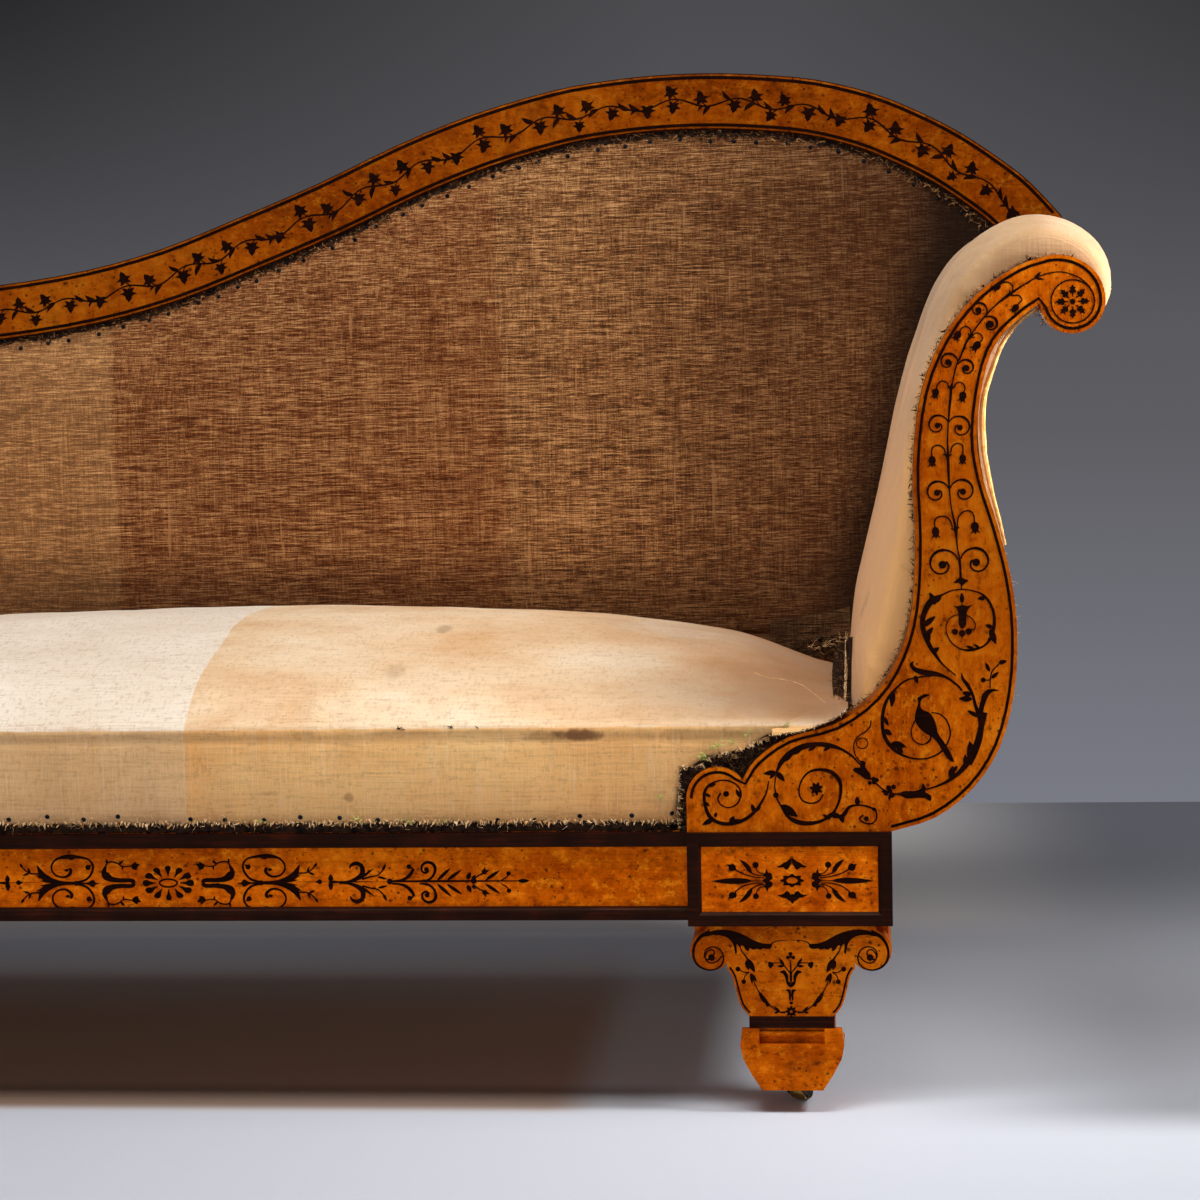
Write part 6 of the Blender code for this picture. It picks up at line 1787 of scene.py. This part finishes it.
for a, b in zip(lower_edge, lower_edge[1:]):
    for _ in range(16):
        t = RNG.random()
        kind = edge_fringe if RNG.random() < 0.6 else corner
        kind.hair(a.lerp(b, t) + Vector((0, -0.0002, 0.0006)), (RNG.gauss(0, 0.7), -0.25, -0.8),
                  RNG.uniform(0.0015, 0.0045), 0.0002, 0.4, 3,
                  RNG.uniform(0.0003, 0.0010) if RNG.random() < 0.5 else None, (1, 0, 0))
for bits, material, slot in ((outer_roll, ROLLED, "calico"), (corner, HAIR, "webbing"), (edge_fringe, FRAYED, "calico"),
                             (lap, SEAT_LOOK, "calico"), (corner_light, LIGHT_HAIR, "webbing")):
    bits.mirrored()
    bits.build(material, slot)

# The gap between the seat and the head end's pad: dark stuffing, an upright tape and loose threads
gap = Bits("seat_end_gap")
corner_cloth = Bits("back_canvas_torn_foot")
gap_cloth = Bits("seat_end_threads")
gap_light = Bits("seat_end_light_hair")
GAP = ((834, 653), (839, 646), (846, 639), (853, 636.4), (853, 668), (852, 701.8), (845, 707.6), (836.5, 711.5),
       (832.5, 700), (832, 672))
gap.faces += slab_faces(0, len(GAP), [range(len(GAP))])
gap.points += [on_all.before(px, py, lift) for lift in (0.0016, 0.0004) for px, py in GAP]
on_gap = Surface(gap.build(HAIR, "webbing"))
gap_hair = Bits("seat_end_hair")
for _ in range(300):
    place = on_gap.before(RNG.uniform(834, 850), RNG.uniform(646, 704), 0.001)
    kind = gap_light if RNG.random() < 0.5 else gap_hair
    kind.hair(place, (RNG.gauss(0, 0.5), -0.5, RNG.gauss(0, 1)), RNG.uniform(0.004, 0.010), 0.0004, 0.4, 3)
TAPE = ((846.5, 640, 0.004), (846.2, 660, 0.004), (845.5, 684, 0.004), (844.5, 700, 0.003))
LOOSE_THREAD = ((751.5, 671.5), (766, 677), (783, 679.5), (800, 684), (812, 692), (823, 701), (835, 711))
gap_cloth.tube([on_gap.before(*spot) for spot in TAPE], 0.0015, 0.0004, (1, 0.2, 0), 4, 0.9)
gap_cloth.tube([on_all.before(px, py, 0.0009) for px, py in smooth_path(LOOSE_THREAD, 3)], 0.0005, 0.0004)
for px, py in ((812, 648.5), (820, 646), (828, 643), (836, 640), (843, 638), (850, 637)):
    for _ in range(5):
        gap_cloth.hair(on_all.before(px + RNG.gauss(0, 3), py + RNG.gauss(0, 1.5), 0.0015),
                       (1, -0.3, RNG.gauss(0.2, 0.4)), RNG.uniform(0.005, 0.014), 0.00022, 0.4, 4)
for _ in range(60):
    py = RNG.uniform(655, 712)
    gap_cloth.hair(on_all.before(834.5 + RNG.gauss(0, 1.2), py, 0.0014), (1, -0.2, RNG.gauss(0, 0.7)),
                   RNG.uniform(0.002, 0.007), 0.0002, 0.4, 3)
# The canvas's torn foot is in the darker canvas: dirt and painted shade above the seat.
FOOT_OF_CANVAS = ((770, 622), (800, 617), (830, 612), (856, 606), (856, 664), (842, 664), (826, 658), (800, 654),
                  (770, 650))
torn_foot = [(min(x, 0.6225), z) for x, z in (seen(px, py, 0.279) for px, py in FOOT_OF_CANVAS)]
corner_cloth.patch(torn_foot, lambda x, z: 0.2780 + 0.0008 * ripple(x * 60, z * 60, 0), lambda x, z: 0.2794)
for _ in range(140):
    x, z = seen(RNG.uniform(790, 850), RNG.gauss(646, 4), 0.277)
    corner_cloth.hair((min(x, 0.615), 0.2768, z), (RNG.gauss(0, 1), -0.4, RNG.gauss(0, 0.5)), RNG.uniform(0.004, 0.012),
                      0.0004, 0.5, 3, RNG.uniform(0.0004, 0.0016) if RNG.random() < 0.5 else None)
x, z = seen(820, 638.7, 0.277)
tacks.tack((x, 0.2774, z), (0, -1, 0), 0.003)
corner_cloth.mirrored()
corner_cloth.build(DARK_CANVAS, "canvas")
gap_hair.build(HAIR, "webbing")
gap_light.build(LIGHT_HAIR, "webbing")
gap_cloth.build(FRAYED, "calico")

# Under the crest: tacks over the canvas's torn edge and a dark band just below the crest
edge = Track(smooth_path(lower, 2))


def below_crest(along, drop):
    x, z = edge.at(along, -drop)
    return Vector((x, on_canvas.depth(x, z, CANVAS_REST), z))


total = edge.lengths[-1]
brown_band = Bits("canvas_edge_dark_band")
along = 0.012
while along < total - 0.03:
    stop = min(along + 0.08, total - 0.012)
    run = list(np.arange(along, stop + 0.0001, 0.004))
    outer = [below_crest(s, -0.0004) for s in run]
    inner = [below_crest(s, 0.0088 + 0.0024 * ripple(s * 40, 0, 0, 4.4) + RNG.uniform(-0.0014, 0.0014)) for s in run]
    ring = outer + inner[::-1]
    brown_band.faces += slab_faces(len(brown_band.points), len(ring), strip_caps(len(run)))
    brown_band.points += [p + Vector((0, -lift, 0)) for lift in (0.0009, 0.0002) for p in ring]
    along = stop
edge_gold = Bits("canvas_edge_threads")
for _ in range(2600):
    s = RNG.uniform(0.012, total - 0.012)
    place = below_crest(s, RNG.uniform(0.001, 0.0125))
    draw = RNG.random()
    kind = brown_band if draw < 0.46 else brown if draw < 0.9 else edge_gold
    kind.hair(place + Vector((0, -0.0012, 0)), (RNG.gauss(0, 1), -0.25, RNG.gauss(-0.3, 0.8)),
              RNG.uniform(0.003, 0.010), 0.00028, 0.5, 3,
              RNG.uniform(0.0004, 0.0012) if RNG.random() < 0.3 else None)
s = 0.02
while s < total - 0.02:
    place = below_crest(s, RNG.uniform(0.0125, 0.0160))
    tacks.tack(place, (0, -1, 0), 0.0025)
    if RNG.random() < 0.35:
        tacks.tack(below_crest(s + RNG.uniform(0.006, 0.012), RNG.uniform(0.006, 0.011)), (0, -1, 0), 0.0021)
    s += RNG.uniform(0.022, 0.036)
brown_band.build(HAIR, "webbing")
edge_gold.build(LIGHT_HAIR, "webbing")
brown.build(FRAYED_BROWN, "canvas")

# Along the arm boards: the covers' frayed edges over the pads, and loose threads on the outer side
pad_fringe = Bits("pad_edge_dark")
pad_threads = Bits("pad_edge_threads")
for side in ("left", "right"):
    sign = 1 if side == "right" else -1
    ring = face_loop(f"arm_front_board_{side}", ARM_PLANE)
    inward = -sign
    out = [(-n[0], -n[1]) for n in side_steps(ring, True)]
    for (x, z), (nx, nz), nxt in zip(ring, out, ring[1:] + ring[:1]):
        if z < 0.36:
            continue
        length = math.dist((x, z), nxt)
        inner_side = nx * inward + 0.8 * nz > 0.25
        outer_side = not inner_side and nx * sign > 0.2 and z < 0.70
        count = round(length / 0.0010) if inner_side else round(length / 0.008) if outer_side else 0
        for _ in range(count):
            t = RNG.random()
            place = Vector((x + (nxt[0] - x) * t + nx * 0.0006, -0.2935, z + (nxt[1] - z) * t + nz * 0.0006))
            ahead = Vector((nx, RNG.uniform(-1.3, -0.3), nz)) + Vector((nz, 0, -nx)) * RNG.gauss(0, 0.7)
            if inner_side:
                kind = pad_fringe if RNG.random() < 0.62 else pad_threads
                kind.hair(place, ahead, RNG.uniform(0.002, 0.0075), 0.00026, 0.45, 3,
                          RNG.uniform(0.0003, 0.0010) if RNG.random() < 0.4 else None, (nz, 0, -nx))
            else:
                pad_threads.hair(place, ahead, RNG.uniform(0.003, 0.009), 0.00018, 0.45, 4)
pad_fringe.build(HAIR, "webbing")
pad_threads.build(FRAYED, "calico")
tacks.build(TACK, "iron")
frayed.build(FRAYED, "calico")
horsehair.build(HAIR, "webbing")
green.build(GREEN, "calico")

# The photograph's camera
camera = bpy.data.cameras.new("Camera")
camera.lens = FOCAL
camera.sensor_width = SENSOR
camera_object = link(bpy.data.objects.new("Camera", camera))
turn = Matrix((RIGHT, -BELOW, -FORWARD)).transposed().to_4x4()
camera_object.matrix_world = Matrix.Translation(CAMERA_PLACE) @ turn
bpy.context.scene.camera = camera_object

# Floor, backdrop and light. The floor stops behind the sofa, where the backdrop begins.
FLOOR_END = 1.35


def floor_look():
    """A pale floor, darker towards the back as painted light falloff, with painted shadow that helps the real shadows
    under and to the right of the sofa, and painted lighter behind the sofa.
    """
    look = Look("Pale floor")
    x, y, _ = look.split(look.place)
    # Painted light falloff: the floor darkens towards the back.
    deep = look.plus(look.band(y, -0.6, 1.3), look.times(look.noise(0.8, detail=2), 0.06))
    look.colour = look.ramp(deep, (0.0, tone(214, 218, 227)), (0.28, tone(212, 216, 225)),
                            (0.60, tone(186, 188, 197)), (1.0, tone(142, 144, 154)))
    # Painted light: behind the sofa the floor is painted lighter and warmer.
    behind = look.times(look.band(x, 1.00, 0.66, 0, 0.9), look.band(y, 0.36, 0.56))
    look.paint(behind, tone(228, 222, 219))
    under = look.times(look.band(x, 0.40, 0.34), look.band(x, -0.85, -0.55))
    under = look.times(under, look.times(look.band(y, -0.335, -0.300), look.band(y, 0.42, 0.02)))
    look.paint(look.times(under, look.band(x, 0.4, -0.4, 0.80, 0.90)), tone(176, 136, 102))
    # Painted shadow: a darker strip along the front edge of the shadow under the sofa.
    rim = look.times(look.band(y, -0.325, -0.300), look.band(y, -0.22, -0.26))
    look.paint(look.times(rim, look.band(x, 0.50, 0.42, 0, 0.5)), tone(84, 62, 50))
    away = look.times(look.band(x, 0.63, 0.93, 0.08, 0.70), look.band(y, -0.40, -0.29, 0.10, 1.0))
    look.paint(look.times(away, look.band(y, 0.0, 0.5, 1.0, 0.45)), tone(92, 92, 100))
    look.set(0.75)
    return look.material


floor = mesh_piece("floor", [(-6, -6, 0), (6, -6, 0), (6, FLOOR_END, 0), (-6, FLOOR_END, 0)], [(0, 1, 2, 3)])
floor.data.materials.append(floor_look())

# The backdrop is the world: grey behind the sofa, and darker upwards and in its upper corners as painted light falloff,
# while an even light fills the room
world = bpy.data.worlds.new("Studio")
bpy.context.scene.world = world
world.use_nodes = True
world.node_tree.nodes.clear()
sky = Nodes(world.node_tree)
x, _, z = sky.split(sky.node("ShaderNodeTexCoord").outputs["Generated"])
grey = sky.ramp(sky.band(z, -0.17, 0.13, smooth=False),
                (0.0, tone(122, 124, 133)), (0.45, tone(94, 93, 98)), (1.0, tone(74, 73, 76)))
aside = sky.band(sky.math("ABSOLUTE", sky.plus(x, 0.05)), 0.02, 0.24, smooth=False)
corners = sky.times(aside, sky.band(z, 0.0, 0.12, smooth=False))
wall = sky.node("ShaderNodeBackground", {"Color": sky.mix(corners, grey, tone(42, 41, 43))})
fill = sky.node("ShaderNodeBackground", {"Color": tone(225, 228, 236), "Strength": 0.14})
either = sky.node("ShaderNodeMixShader", {
    0: sky.node("ShaderNodeLightPath").outputs["Is Camera Ray"], 1: fill.outputs[0], 2: wall.outputs[0],
})
sky.node("ShaderNodeOutputWorld", {"Surface": either.outputs[0]})


def lamp(name, place, target, size, energy, spread=180):
    light = bpy.data.lights.new(name, "AREA")
    light.shape = "RECTANGLE"
    light.size, light.size_y = size
    light.energy = energy
    light.spread = math.radians(spread)
    obj = link(bpy.data.objects.new(name, light))
    obj.location = place
    obj.rotation_euler = (Vector(target) - Vector(place)).to_track_quat("-Z", "Y").to_euler()


lamp("Key", (0.45, -1.05, 2.85), (0.35, -0.1, 0.3), (2.0, 0.6), 57)
lamp("Fill", (-0.9, -4.2, 1.1), (0.1, 0.0, 0.5), (2.2, 1.4), 20.0)
lamp("Side", (2.1, -0.5, 1.9), (0.75, -0.2, 0.0), (0.5, 0.5), 2.4, 46)
lamp("Rim", (2.3, -0.5, 0.72), (0.8, -0.30, 0.68), (0.3, 0.3), 1.6, 26)
lamp("Back", (-0.5, 1.25, 1.9), (-0.3, 0.7, 0.0), (1.2, 0.4), 2.4)

bpy.context.scene.view_settings.view_transform = "Standard"
